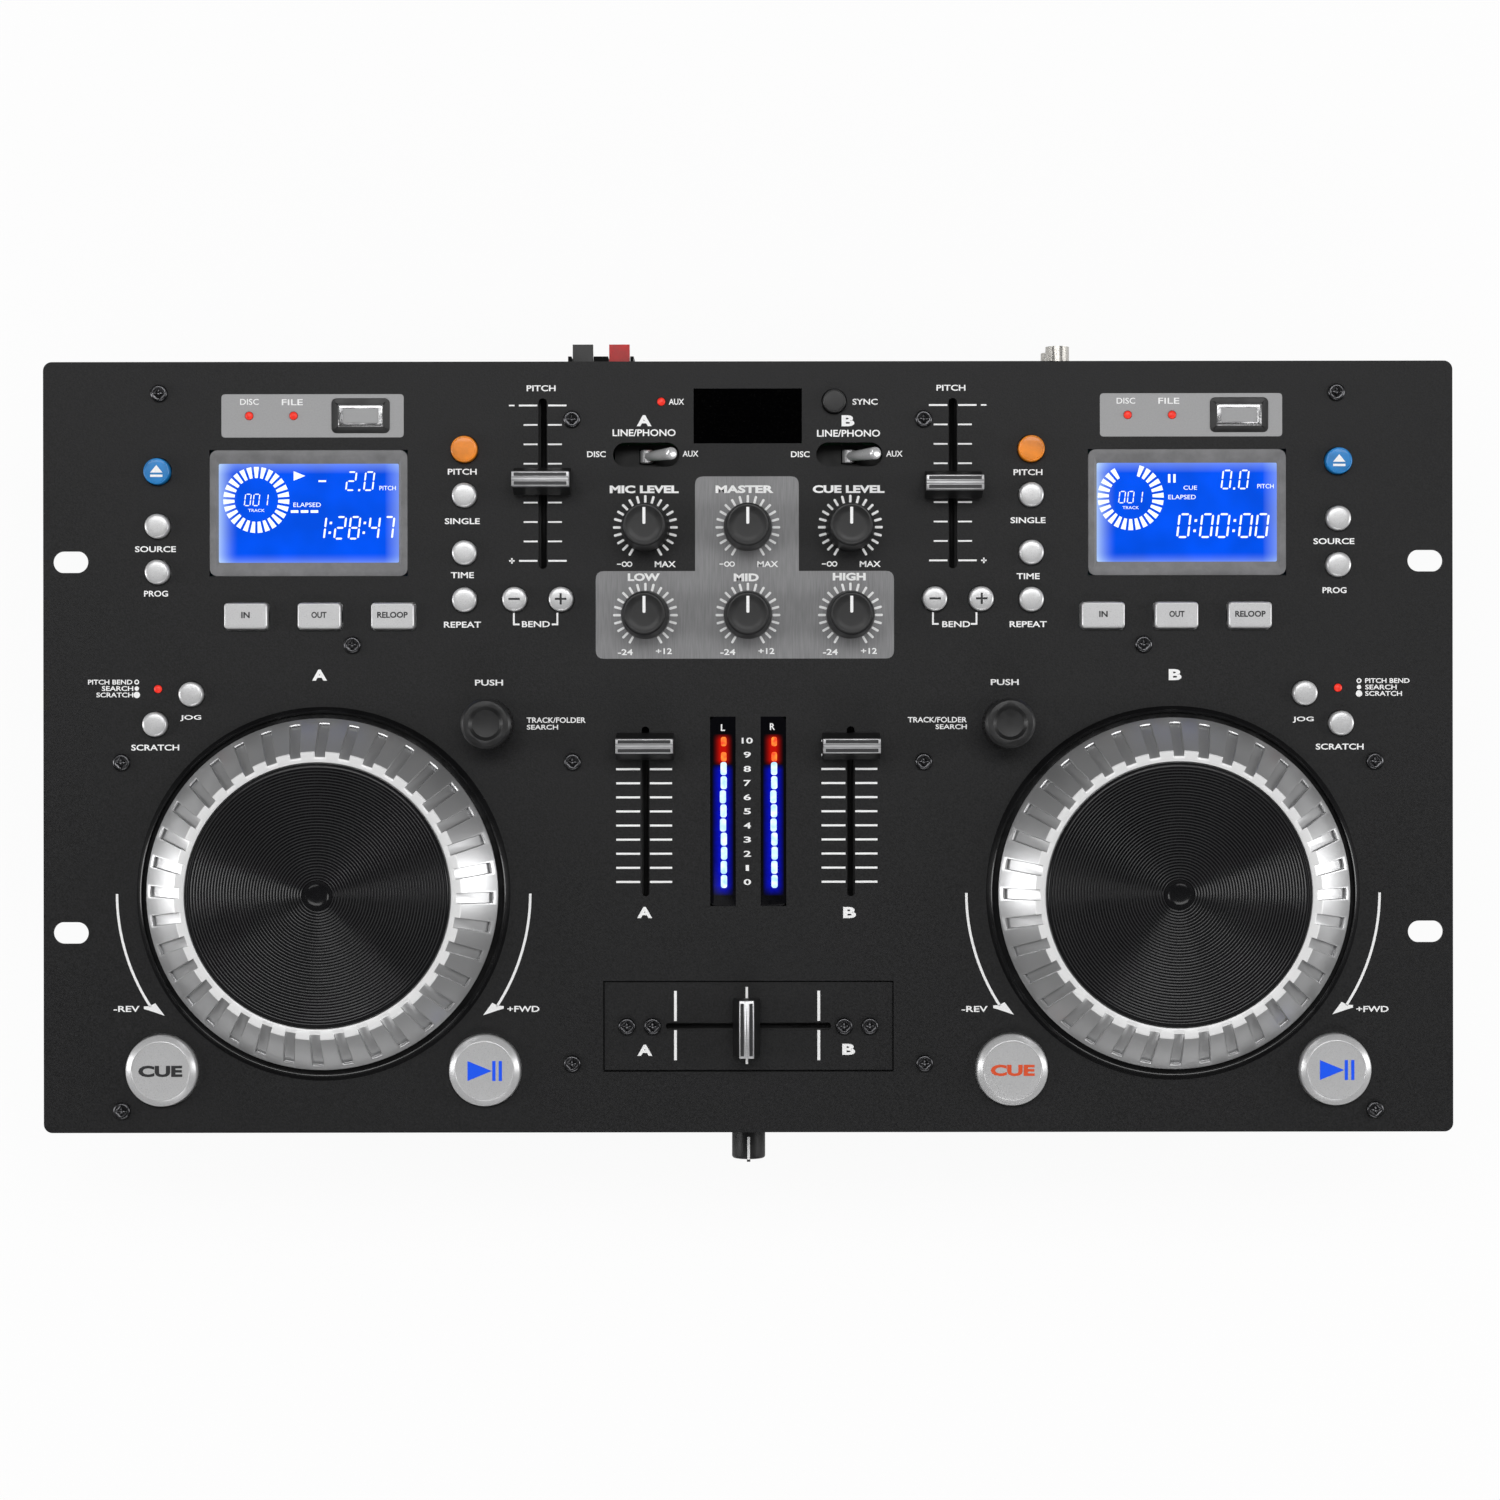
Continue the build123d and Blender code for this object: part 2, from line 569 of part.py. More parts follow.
def cross_head_screw(x, y, seat, length):
    """Pan head screw with a cross recess, standing on its seat."""
    head = disc(SCREW_HEAD_DIAMETER, seat, seat + SCREW_HEAD_HEIGHT, x, y)
    head = fillet(head.edges().group_by(Axis.Z)[-1], SCREW_HEAD_HEIGHT / 2)
    recess = seat + SCREW_HEAD_HEIGHT / 3
    for across, along in ((SCREW_CROSS_LENGTH, SCREW_CROSS), (SCREW_CROSS, SCREW_CROSS_LENGTH)):
        head -= block(across, along, recess, seat + SCREW_HEAD_HEIGHT, x, y)
    return head + disc(SCREW_DIAMETER, seat - length, seat, x, y)


def fasteners():
    """Panel screws, crossfader plate screws, board standoffs and floor posts."""
    pieces = [cross_head_screw(x, y, PANEL_TOP, SCREW_LENGTH)
              for x, y in mirrored(CASE_SCREWS + REAR_SCREWS + BOARD_SCREWS)]
    for x, y in mirrored(BOARD_SCREWS):
        post = disc(STANDOFF_DIAMETER, BOARD_TOP, CASE_TOP, x, y)
        pieces.append(post - disc(SCREW_DIAMETER, PANEL_TOP - SCREW_LENGTH, CASE_TOP, x, y))
    for x, _ in mirrored([(x, 0) for x in CROSS_SCREW_X]):
        pieces.append(cross_head_screw(x, CROSS_Y, CROSS_PLATE_TOP, SCREW_LENGTH / 2))
    for side in SIDES.values():
        for y, depth in ((MAIN_BOARD_Y, MAIN_BOARD_DEPTH), (SUPPLY_BOARD_Y, SUPPLY_BOARD_DEPTH)):
            for end in (-1, 1):
                x = side * (MAIN_BOARD_WIDTH / 2 - STANDOFF_DIAMETER)
                at = y + end * (depth / 2 - STANDOFF_DIAMETER)
                pieces.append(disc(STANDOFF_DIAMETER, FLOOR_TOP, FLOOR_TOP + FLOOR_POST, x, at))
    return group(*pieces)


# ---- Jog wheels -------------------------------------------------------------------------------
def jog_well(side):
    """Black bezel with the floor and bearing boss of a jog wheel."""
    bore = JOG_SHAFT_DIAMETER / 2 + SHAFT_GAP
    outer = JOG_BEZEL_DIAMETER / 2
    crest = outer - JOG_BEZEL_SLOPE
    top = PANEL_TOP + JOG_BEZEL_HEIGHT
    floor = PANEL_TOP + JOG_FLOOR
    inner = JOG_DIAMETER / 2 + JOG_LIFT
    return turned([
        (bore, PANEL_TOP - JOG_BOSS_DEPTH),
        (JOG_BOSS_DIAMETER / 2, PANEL_TOP - JOG_BOSS_DEPTH),
        (JOG_BOSS_DIAMETER / 2, PANEL_TOP),
        (outer, PANEL_TOP),
        (crest, top),
        (crest - JOG_BEZEL_LAND, top),
        (inner, floor + JOG_LIFT),
        (inner, floor),
        (bore, floor),
    ], side * DECK_X, JOG_Y)


def jog_wheel(side):
    """Notched ring, its platter and its shaft."""
    rim = JOG_DIAMETER / 2
    shoulder = JOG_SHOULDER_DIAMETER / 2
    seat = JOG_PLATTER_DIAMETER / 2
    shaft = JOG_SHAFT_DIAMETER / 2
    foot = PANEL_TOP + JOG_FLOOR + JOG_LIFT
    rim_top = PANEL_TOP + JOG_RIM_HEIGHT
    ring_top = PANEL_TOP + JOG_RING_HEIGHT
    seat_top = PANEL_TOP + JOG_HEIGHT - JOG_PLATTER_THICKNESS
    web = seat_top - JOG_SHELL
    ring = turned([
        (rim, foot), (rim, rim_top), (shoulder, ring_top), (seat, ring_top), (seat, seat_top),
        (shaft, seat_top), (shaft, foot), (shaft + JOG_SHELL, foot), (shaft + JOG_SHELL, web),
        (seat - JOG_SHELL, web), (rim - JOG_SHELL, rim_top - JOG_SHELL / 2), (rim - JOG_SHELL, foot),
    ])
    slope = (ring_top - rim_top) / (rim - shoulder)
    sink = JOG_NOTCH_DEPTH * sqrt(1 + slope * slope)

    def cone_height(radius):
        return rim_top + (rim - radius) * slope

    inner_end = shoulder - sink / slope
    outer_end = JOG_NOTCH_END / 2
    ledge_end = outer_end + JOG_NOTCH_LEDGE
    above = ring_top + JOG_SHELL
    notch = prism_x([
        (inner_end, ring_top), (outer_end, cone_height(outer_end) - sink),
        (outer_end, cone_height(ledge_end)), (rim + JOG_SHELL, cone_height(ledge_end)),
        (rim + JOG_SHELL, above), (inner_end, above),
    ], JOG_NOTCH_WIDTH)
    ring -= [Rot(0, 0, step * 360 / JOG_NOTCHES) * notch for step in range(JOG_NOTCHES)]
    top = PANEL_TOP + JOG_HEIGHT
    platter = disc(JOG_PLATTER_DIAMETER - 2 * SLIDE_GAP, seat_top, top)
    platter -= disc(JOG_DIMPLE_DIAMETER, top - JOG_DIMPLE_DEPTH, top)
    spindle = disc(JOG_SHAFT_DIAMETER, PANEL_TOP - JOG_BOSS_DEPTH - JOG_SHAFT_TAIL, seat_top)
    return group(*[Pos(side * DECK_X, JOG_Y, 0) * piece for piece in (ring, platter, spindle)])


def cross_plate():
    """Screwed plate of the crossfader, sunk in its pan."""
    plate = block(CROSS_PLATE_WIDTH, CROSS_PLATE_DEPTH, CROSS_PLATE_BOTTOM, CROSS_PLATE_TOP, 0, CROSS_Y)
    slot = SlotOverall(CROSS_SLOT_LENGTH, CROSS_SLOT_WIDTH)
    plate -= slab(slot, CROSS_PLATE_BOTTOM, CROSS_PLATE_TOP, 0, CROSS_Y)
    for x, _ in mirrored([(x, 0) for x in CROSS_SCREW_X]):
        plate -= disc(SCREW_DIAMETER, CROSS_PLATE_BOTTOM, CROSS_PLATE_TOP, x, CROSS_Y)
    return plate


def panel_trim():
    """Both jog wells and the crossfader plate."""
    return group(jog_well(-1), jog_well(1), cross_plate())


# ---- Buttons ----------------------------------------------------------------------------------
def button_tail(travel):
    """Height of the lower end of a button's stem, just over its switch when pressed."""
    return SWITCH_TOP + travel + SLIDE_GAP


def round_button(x, y, diameter):
    """Small domed button with its flange and stem."""
    top = PANEL_TOP + BUTTON_PROUD
    cap = disc(diameter, FLANGE_BOTTOM, top, x, y)
    cap = fillet(cap.edges().group_by(Axis.Z)[-1], BUTTON_ROUND)
    cap += disc(diameter + 2 * BUTTON_RIM, FLANGE_BOTTOM, FLANGE_TOP, x, y)
    return cap + disc(STEM_DIAMETER, button_tail(BUTTON_TRAVEL), FLANGE_BOTTOM, x, y)


def cue_button(x, y):
    """Big button with a sloping rim round a flat face."""
    rim = CUE_DIAMETER / 2
    top = PANEL_TOP + CUE_PROUD
    return turned([
        (0, button_tail(CUE_TRAVEL)), (STEM_DIAMETER / 2, button_tail(CUE_TRAVEL)),
        (STEM_DIAMETER / 2, FLANGE_BOTTOM), (rim + BUTTON_RIM, FLANGE_BOTTOM),
        (rim + BUTTON_RIM, FLANGE_TOP), (rim, FLANGE_TOP), (rim, top - CUE_BEVEL),
        (CUE_FACE_DIAMETER / 2, top), (0, top),
    ], x, y)


def loop_keys(side):
    """Three keys moulded on one bar, as the row is."""
    strip = block(2 * KEY_PITCH + KEY_WIDTH, KEY_BAR_DEPTH, FLANGE_BOTTOM, FLANGE_TOP, side * LOOP_X, LOOP_Y)
    outline = RectangleRounded(KEY_WIDTH, KEY_DEPTH, KEY_CORNER)
    rim = RectangleRounded(KEY_WIDTH + 2 * BUTTON_RIM, KEY_DEPTH + 2 * BUTTON_RIM, KEY_CORNER + BUTTON_RIM)
    for x in key_centres(side):
        cap = slab(outline, FLANGE_BOTTOM, PANEL_TOP + BUTTON_PROUD, x, LOOP_Y)
        cap = fillet(cap.edges().group_by(Axis.Z)[-1], BUTTON_ROUND)
        strip += cap
        strip += slab(rim, FLANGE_BOTTOM, FLANGE_TOP, x, LOOP_Y)
        strip += disc(STEM_DIAMETER, button_tail(BUTTON_TRAVEL), FLANGE_BOTTOM, x, LOOP_Y)
    return strip


# ---- Knobs, toggles and faders ----------------------------------------------------------------
def mixer_knob(x, y):
    """Plain tapered knob on its shaft."""
    foot = KNOB_DIAMETER / 2
    head = KNOB_TOP_DIAMETER / 2
    crown = KNOB_BOTTOM + KNOB_HEIGHT
    bore = SHAFT_DIAMETER / 2
    sleeve = crown - KNOB_CROWN
    knob = turned([
        (bore, KNOB_BOTTOM), (foot, KNOB_BOTTOM), (foot, KNOB_BOTTOM + KNOB_SKIRT),
        (head, crown), (0, crown), (0, sleeve), (bore, sleeve),
    ], x, y)
    knob = fillet(knob.edges().group_by(Axis.Z)[-1], BUTTON_ROUND)
    return group(knob, disc(SHAFT_DIAMETER, POT_TOP, sleeve, x, y))


def track_knob(side):
    """Fluted knob with a hollow top, on its shaft."""
    foot = TRACK_KNOB_DIAMETER / 2
    crown = KNOB_BOTTOM + TRACK_KNOB_HEIGHT
    bore = SHAFT_DIAMETER / 2
    sleeve = crown - KNOB_CROWN
    dish = TRACK_KNOB_DISH / 2
    knob = turned([
        (bore, KNOB_BOTTOM), (foot, KNOB_BOTTOM), (foot, crown - BUTTON_ROUND), (foot - BUTTON_ROUND, crown),
        (dish, crown), (dish - TRACK_KNOB_HOLLOW, crown - TRACK_KNOB_HOLLOW), (0, crown - TRACK_KNOB_HOLLOW),
        (0, sleeve), (bore, sleeve),
    ])
    flute = disc(FLUTE_DIAMETER, KNOB_BOTTOM, crown - 2 * BUTTON_ROUND, foot + FLUTE_OFFSET, 0)
    knob -= [Rot(0, 0, step * 360 / TRACK_KNOB_FLUTES) * flute for step in range(TRACK_KNOB_FLUTES)]
    shaft = disc(SHAFT_DIAMETER, POT_TOP, sleeve)
    return group(*[Pos(side * TRACK_KNOB_X, TRACK_KNOB_Y, 0) * piece for piece in (knob, shaft)])


def front_knob():
    """Small knob of the front face, pointing forward, on its shaft."""
    root = FRONT_WALL - KNOB_GAP
    tip = root - FRONT_KNOB_LENGTH
    sleeve = tip + KNOB_CROWN
    knob = bar_y(FRONT_KNOB_DIAMETER, root, tip, 0, FRONT_AXIS_Z)
    knob = fillet(knob.edges().group_by(Axis.Y)[0], BUTTON_ROUND)
    knob -= bar_y(SHAFT_DIAMETER, root, sleeve, 0, FRONT_AXIS_Z)
    pointer_top = FRONT_AXIS_Z + FRONT_KNOB_DIAMETER / 2 - BUTTON_ROUND
    rib = block(STEM_THICKNESS, CAP_RIDGE, FRONT_AXIS_Z, pointer_top, 0, tip - CAP_RIDGE / 2)
    shaft = bar_y(SHAFT_DIAMETER, FRONT_WALL + JACK_DEPTH - POT_HEIGHT, sleeve, 0, FRONT_AXIS_Z)
    return group(knob + rib, shaft)


def toggle_pivot_height():
    return PANEL_TOP - TOGGLE_PIVOT_DROP


def toggle(side):
    """Bat lever on the barrel that it turns on, leaning to the right."""
    neck = TOGGLE_NECK_DIAMETER / 2
    tip = TOGGLE_TIP_DIAMETER / 2
    shoulder = TOGGLE_LEVER - tip
    lever = turned([(0, 0), (neck, 0), (neck, TOGGLE_LEVER / 2), (tip, shoulder), (0, shoulder)])
    lever += Pos(0, 0, shoulder) * Sphere(tip)
    half = TOGGLE_BARREL_LENGTH / 2
    lever += bar_y(TOGGLE_BARREL_DIAMETER, -half, half, 0, 0)
    return Pos(side * TOGGLE_X, TOGGLE_Y, toggle_pivot_height()) * Rot(0, TOGGLE_LEAN, 0) * lever


def fader_cap():
    """Cap whose long side lies along X, with a flared foot, a waist and a ridge."""
    foot = CAP_FOOT / 2
    head = CAP_TOP / 2
    waist = CAP_BOTTOM + CAP_WAIST
    crown = CAP_BOTTOM + CAP_HEIGHT
    ridge = CAP_RIDGE / 2
    return prism_x([
        (-foot, CAP_BOTTOM), (foot, CAP_BOTTOM), (foot, CAP_BOTTOM + CAP_SOLE), (head, waist),
        (head, crown - ridge), (ridge, crown - ridge), (ridge, crown), (-ridge, crown),
        (-ridge, crown - ridge), (-head, crown - ridge), (-head, waist), (-foot, CAP_BOTTOM + CAP_SOLE),
    ], CAP_LENGTH)


def fader(x, y):
    """Cap of an upright fader and the blade that carries it."""
    blade = block(STEM_THICKNESS, STEM_BREADTH, FADER_TOP - FADER_WALL, CAP_BOTTOM)
    return Pos(x, y, 0) * (fader_cap() + blade)


def crossfader():
    """The same cap turned a quarter, on the crossfader's blade."""
    top = CROSS_PLATE_BOTTOM
    blade = block(STEM_THICKNESS, STEM_BREADTH, top - FADER_WALL, CAP_BOTTOM)
    return Pos(CROSS_REST, CROSS_Y, 0) * Rot(0, 0, 90) * (fader_cap() + blade)


# ---- Displays, ports and rear sockets ---------------------------------------------------------
def lcd(side):
    """Grey frame and the display window in it."""
    window_top = PANEL_TOP - LCD_RECESS
    low = CASE_TOP - CASE_WALL
    frame = block(LCD_FRAME_WIDTH - 2 * SLIDE_GAP, LCD_FRAME_DEPTH - 2 * SLIDE_GAP, CASE_TOP, PANEL_TOP)
    frame += block(LCD_FRAME_WIDTH + 2 * BUTTON_RIM, LCD_FRAME_DEPTH + 2 * BUTTON_RIM, low, CASE_TOP)
    hole = block(LCD_WINDOW_WIDTH, LCD_WINDOW_DEPTH, low, PANEL_TOP)
    window = block(LCD_WINDOW_WIDTH, LCD_WINDOW_DEPTH, low, window_top)
    return [Pos(side * LCD_X, LCD_Y, 0) * piece for piece in (frame - hole, window)]


def display_windows():
    """Both blue displays, the small mixer display, the level meters and the lamps."""
    pieces = lcd(-1) + lcd(1)
    low = BOARD_TOP
    pieces.append(block(MIXER_WINDOW_WIDTH, MIXER_WINDOW_DEPTH, low, PANEL_TOP, 0, MIXER_WINDOW_Y))
    for side in SIDES.values():
        pieces.append(block(METER_WIDTH, METER_DEPTH, low, PANEL_TOP, side * METER_X, CHANNEL_Y))
    for x, y in lamp_places():
        lamp = disc(LAMP_DIAMETER, low, PANEL_TOP + LAMP_DIAMETER / 4, x, y)
        pieces.append(fillet(lamp.edges().group_by(Axis.Z)[-1], LAMP_DIAMETER / 5))
    return group(*pieces)


def memory_port(deck):
    """Upright memory port: black frame, steel shell and its tongue."""
    low = PANEL_TOP - PORT_BODY_DEPTH
    frame = block(PORT_FRAME_WIDTH, PORT_FRAME_DEPTH, low, PANEL_TOP + SLIDE_GAP)
    frame -= block(PORT_SHELL_WIDTH, PORT_SHELL_DEPTH, low, PANEL_TOP + SLIDE_GAP)
    shell = block(PORT_SHELL_WIDTH, PORT_SHELL_DEPTH, low, PANEL_TOP + SLIDE_GAP)
    inner_width = PORT_SHELL_WIDTH - 2 * PORT_WALL
    inner_depth = PORT_SHELL_DEPTH - 2 * PORT_WALL
    shell -= block(inner_width, inner_depth, low + PORT_WALL, PANEL_TOP + SLIDE_GAP)
    tongue = block(inner_width - 2 * PORT_WALL, PORT_TONGUE_DEPTH, low + PORT_WALL, PANEL_TOP - PORT_WALL,
                   0, (inner_depth - PORT_TONGUE_DEPTH) / 2)
    return [Pos(PORT_PLATE_X[deck] + PORT_X, PORT_PLATE_Y, 0) * piece for piece in (frame, shell, tongue)]


def front_jack(x):
    """Front jack: body behind the wall and a ring nut before it."""
    face = FRONT_WALL - JACK_NUT_HEIGHT
    body = block(JACK_BODY_SIDE, JACK_DEPTH - CASE_WALL, FRONT_AXIS_Z - JACK_BODY_SIDE / 2,
                 FRONT_AXIS_Z + JACK_BODY_SIDE / 2, x, FRONT_WALL + CASE_WALL + (JACK_DEPTH - CASE_WALL) / 2)
    body += bar_y(JACK_NECK_DIAMETER, face, FRONT_WALL + CASE_WALL, x, FRONT_AXIS_Z)
    body += bar_y(JACK_NUT_DIAMETER, face, FRONT_WALL, x, FRONT_AXIS_Z)
    return body - bar_y(JACK_BORE, face, FRONT_WALL + JACK_DEPTH - CASE_WALL, x, FRONT_AXIS_Z)


def phono_sockets():
    """Column of two phono sockets on a common block."""
    middle = sum(PHONO_Z) / 2
    block_half = PHONO_BLOCK_HEIGHT / 2
    pieces = [block(PHONO_BLOCK_WIDTH, PHONO_BLOCK_REACH, middle - block_half, middle + block_half,
                    PHONO_X, REAR_WALL + PHONO_BLOCK_REACH / 2)]
    barrels = []
    for z in PHONO_Z:
        seat = REAR_WALL + PHONO_BLOCK_REACH
        pieces[0] -= bar_y(PHONO_NECK_DIAMETER, REAR_WALL, seat, PHONO_X, z)
        barrel = bar_y(PHONO_NECK_DIAMETER, REAR_WALL - CASE_WALL, seat, PHONO_X, z)
        barrel += bar_y(PHONO_DIAMETER, seat, REAR_WALL + PHONO_REACH, PHONO_X, z)
        barrel -= bar_y(PHONO_BORE, REAR_WALL, REAR_WALL + PHONO_REACH, PHONO_X, z)
        barrels.append(barrel)
    return pieces + barrels


def lever_places():
    """X of the two spring levers."""
    return [TERMINAL_X + side * LEVER_PITCH / 2 for side in SIDES.values()]


def lever_pin():
    """Place (y, z) of the axis that the spring levers turn on."""
    height = TERMINAL_BASE_HEIGHT + TERMINAL_HEIGHT / 2 - LEVER_PIN_DIAMETER
    return REAR_WALL + LEVER_PIN_DIAMETER / 2 + CASE_WALL, height


def terminal_block():
    """Spring terminal block with the wells of its levers and its wire holes."""
    top = TERMINAL_BASE_HEIGHT + TERMINAL_HEIGHT
    near = REAR_WALL - LEVER_THICKNESS
    far = REAR_WALL + TERMINAL_REACH
    body = block(TERMINAL_WIDTH, far - near, TERMINAL_BASE_HEIGHT, top, TERMINAL_X, (near + far) / 2)
    low = lever_pin()[1] - LEVER_PIN_DIAMETER / 2 - SLIDE_GAP
    for x in lever_places():
        well = far - near - LEVER_THICKNESS / 2
        body -= block(LEVER_WIDTH + 2 * SLIDE_GAP, well, low, top, x, far - well / 2)
        body -= bar_y(WIRE_HOLE_DIAMETER, REAR_WALL, far, x, (TERMINAL_BASE_HEIGHT + low) / 2)
    return body


def terminal_levers():
    """The black and the red lever, each on its pin, standing out of the block."""
    pin_y, pin_z = lever_pin()
    top = pin_z + LEVER_LENGTH
    tip = REAR_WALL + TERMINAL_REACH + LEVER_REACH
    half = LEVER_THICKNESS / 2
    levers = []
    for x in lever_places():
        arm = prism_x([
            (pin_y - half, pin_z), (pin_y + half, pin_z), (pin_y + half, top - 2 * LEVER_THICKNESS),
            (tip, top - LEVER_THICKNESS), (tip, top - half), (pin_y - half, top - half),
        ], LEVER_WIDTH, x)
        eye = Pos(x, pin_y, pin_z) * Rot(0, 90, 0) * Cylinder(LEVER_PIN_DIAMETER / 2, LEVER_WIDTH)
        levers.append(arm + eye)
    return group(*levers)


def mains_inlet():
    """Three pin mains inlet with its lip outside the wall."""
    low = INLET_Z - INLET_HEIGHT / 2
    high = INLET_Z + INLET_HEIGHT / 2
    body = block(INLET_WIDTH, INLET_DEPTH, low, high, INLET_X, REAR_WALL - INLET_DEPTH / 2)
    body += block(INLET_WIDTH + 2 * INLET_LIP, INLET_LIP_REACH, low - INLET_LIP, high + INLET_LIP,
                  INLET_X, REAR_WALL + INLET_LIP_REACH / 2)
    inner = INLET_DEPTH - INLET_WALL + INLET_LIP_REACH
    cavity_y = REAR_WALL + INLET_LIP_REACH - inner / 2
    body -= block(INLET_WIDTH - 2 * INLET_WALL, inner, low + INLET_WALL, high - INLET_WALL, INLET_X, cavity_y)
    root = REAR_WALL - INLET_DEPTH + INLET_WALL
    pin_y = root + INLET_PIN_LENGTH / 2
    pins = []
    for step, rise in ((-1, -1), (0, 1), (1, -1)):
        x = INLET_X + step * INLET_PIN_SPREAD
        z = INLET_Z + rise * INLET_WALL
        pins.append(block(INLET_WALL, INLET_PIN_LENGTH, z - INLET_WALL, z + INLET_WALL, x, pin_y))
    return [body] + pins


def rocker_axis():
    """Y of the axis that the power rocker turns on."""
    return REAR_WALL - ROCKER_LIP_REACH


def rocker_frame():
    """Frame of the power rocker, snapped in the rear wall."""
    width = ROCKER_WIDTH + 2 * ROCKER_LIP
    height = ROCKER_HEIGHT + 2 * ROCKER_LIP
    low = ROCKER_Z - height / 2
    body = block(width, ROCKER_DEPTH, low, low + height, ROCKER_X, REAR_WALL - ROCKER_DEPTH / 2)
    body += block(width + ROCKER_LIP, ROCKER_LIP_REACH, low - ROCKER_LIP / 2, low + height + ROCKER_LIP / 2,
                  ROCKER_X, REAR_WALL + ROCKER_LIP_REACH / 2)
    inner = ROCKER_DEPTH - ROCKER_LIP + ROCKER_LIP_REACH
    well = block(ROCKER_WIDTH + 2 * SLIDE_GAP, inner, ROCKER_Z - ROCKER_HEIGHT / 2 - SLIDE_GAP,
                 ROCKER_Z + ROCKER_HEIGHT / 2 + SLIDE_GAP, ROCKER_X, REAR_WALL + ROCKER_LIP_REACH - inner / 2)
    return body - well


def power_rocker():
    """Rocker with two slanting halves, tipped to its lower rest."""
    half = ROCKER_HEIGHT / 2 - SLIDE_GAP
    shoulder = half - ROCKER_SHOULDER
    rocker = prism_x([
        (-ROCKER_BACK, 0), (0, -shoulder), (ROCKER_REACH, -half), (ROCKER_DIP, 0),
        (ROCKER_REACH, half), (0, shoulder),
    ], ROCKER_WIDTH)
    rocker += Rot(0, 90, 0) * Cylinder(ROCKER_PIN_DIAMETER / 2, ROCKER_WIDTH + 2 * ROCKER_PIN_REACH)
    return Pos(ROCKER_X, rocker_axis(), ROCKER_Z) * Rot(ROCKER_LEAN, 0, 0) * rocker


def sockets():
    """Memory ports, front jacks, phono sockets, terminal block, mains inlet and rocker frame."""
    pieces = memory_port("a") + memory_port("b") + [front_jack(-JACK_X), front_jack(JACK_X)]
    return group(*pieces, *phono_sockets(), terminal_block(), *mains_inlet(), rocker_frame())


# ---- Boards and what they carry ---------------------------------------------------------------
def fader_body(x, y, slot_length, top, end_room=FADER_END_ROOM, turn=0):
    """Steel channel of a fader, open along the top for the blade."""
    length = slot_length + 2 * end_room
    body = block(FADER_BODY_WIDTH, length, top - FADER_BODY_HEIGHT, top)
    way = STEM_THICKNESS + 2 * SLIDE_GAP
    body -= block(way, slot_length + 2 * SLIDE_GAP, top - FADER_WALL - SLIDE_GAP, top)
    return Pos(x, y, 0) * Rot(0, 0, turn) * body


def control_board():
    """Board under the panel, with the openings for the toggle bodies."""
    reach_x = EDGE_KEY_X + BOARD_MARGIN
    front_y = TRACK_KNOB_Y - POT_SIDE - BOARD_MARGIN
    rear_y = SYNC_Y + BOARD_MARGIN
    board = block(2 * reach_x, rear_y - front_y, BOARD_BOTTOM, BOARD_TOP, 0, (front_y + rear_y) / 2)
    tail = CHANNEL_Y - CHANNEL_SLOT_LENGTH / 2 - 2 * FADER_END_ROOM
    width = 2 * (CHANNEL_X + FADER_BODY_WIDTH + BOARD_MARGIN)
    board += block(width, front_y - tail, BOARD_BOTTOM, BOARD_TOP, 0, (front_y + tail) / 2)
    toggle_way = block(TOGGLE_SLOT_LENGTH, TOGGLE_SLOT_WIDTH, BOARD_BOTTOM, BOARD_TOP, 0, TOGGLE_Y)
    return board - [Pos(side * TOGGLE_X, 0, 0) * toggle_way for side in SIDES.values()]


def toggle_body(side):
    """Switch body that holds the toggle's barrel."""
    pivot = toggle_pivot_height()
    half = TOGGLE_BARREL_LENGTH / 2 + SLIDE_GAP
    low = pivot - TOGGLE_BODY_HEIGHT
    body = block(TOGGLE_SLOT_LENGTH - 2 * SLIDE_GAP, TOGGLE_SLOT_WIDTH - 2 * SLIDE_GAP, low, pivot)
    body -= bar_y(TOGGLE_BARREL_DIAMETER + 2 * SLIDE_GAP, -half, half, 0, pivot)
    return Pos(side * TOGGLE_X, TOGGLE_Y, 0) * body


def cue_board(side):
    """Small board under the cue and play buttons of a deck."""
    outer = DECK_X + CUE_SPREAD + BOARD_MARGIN
    inner = CUE_BOARD_SCREW[0] - STANDOFF_DIAMETER
    return block(outer - inner, CUE_DIAMETER, BOARD_BOTTOM, BOARD_TOP, side * (outer + inner) / 2, CUE_Y)


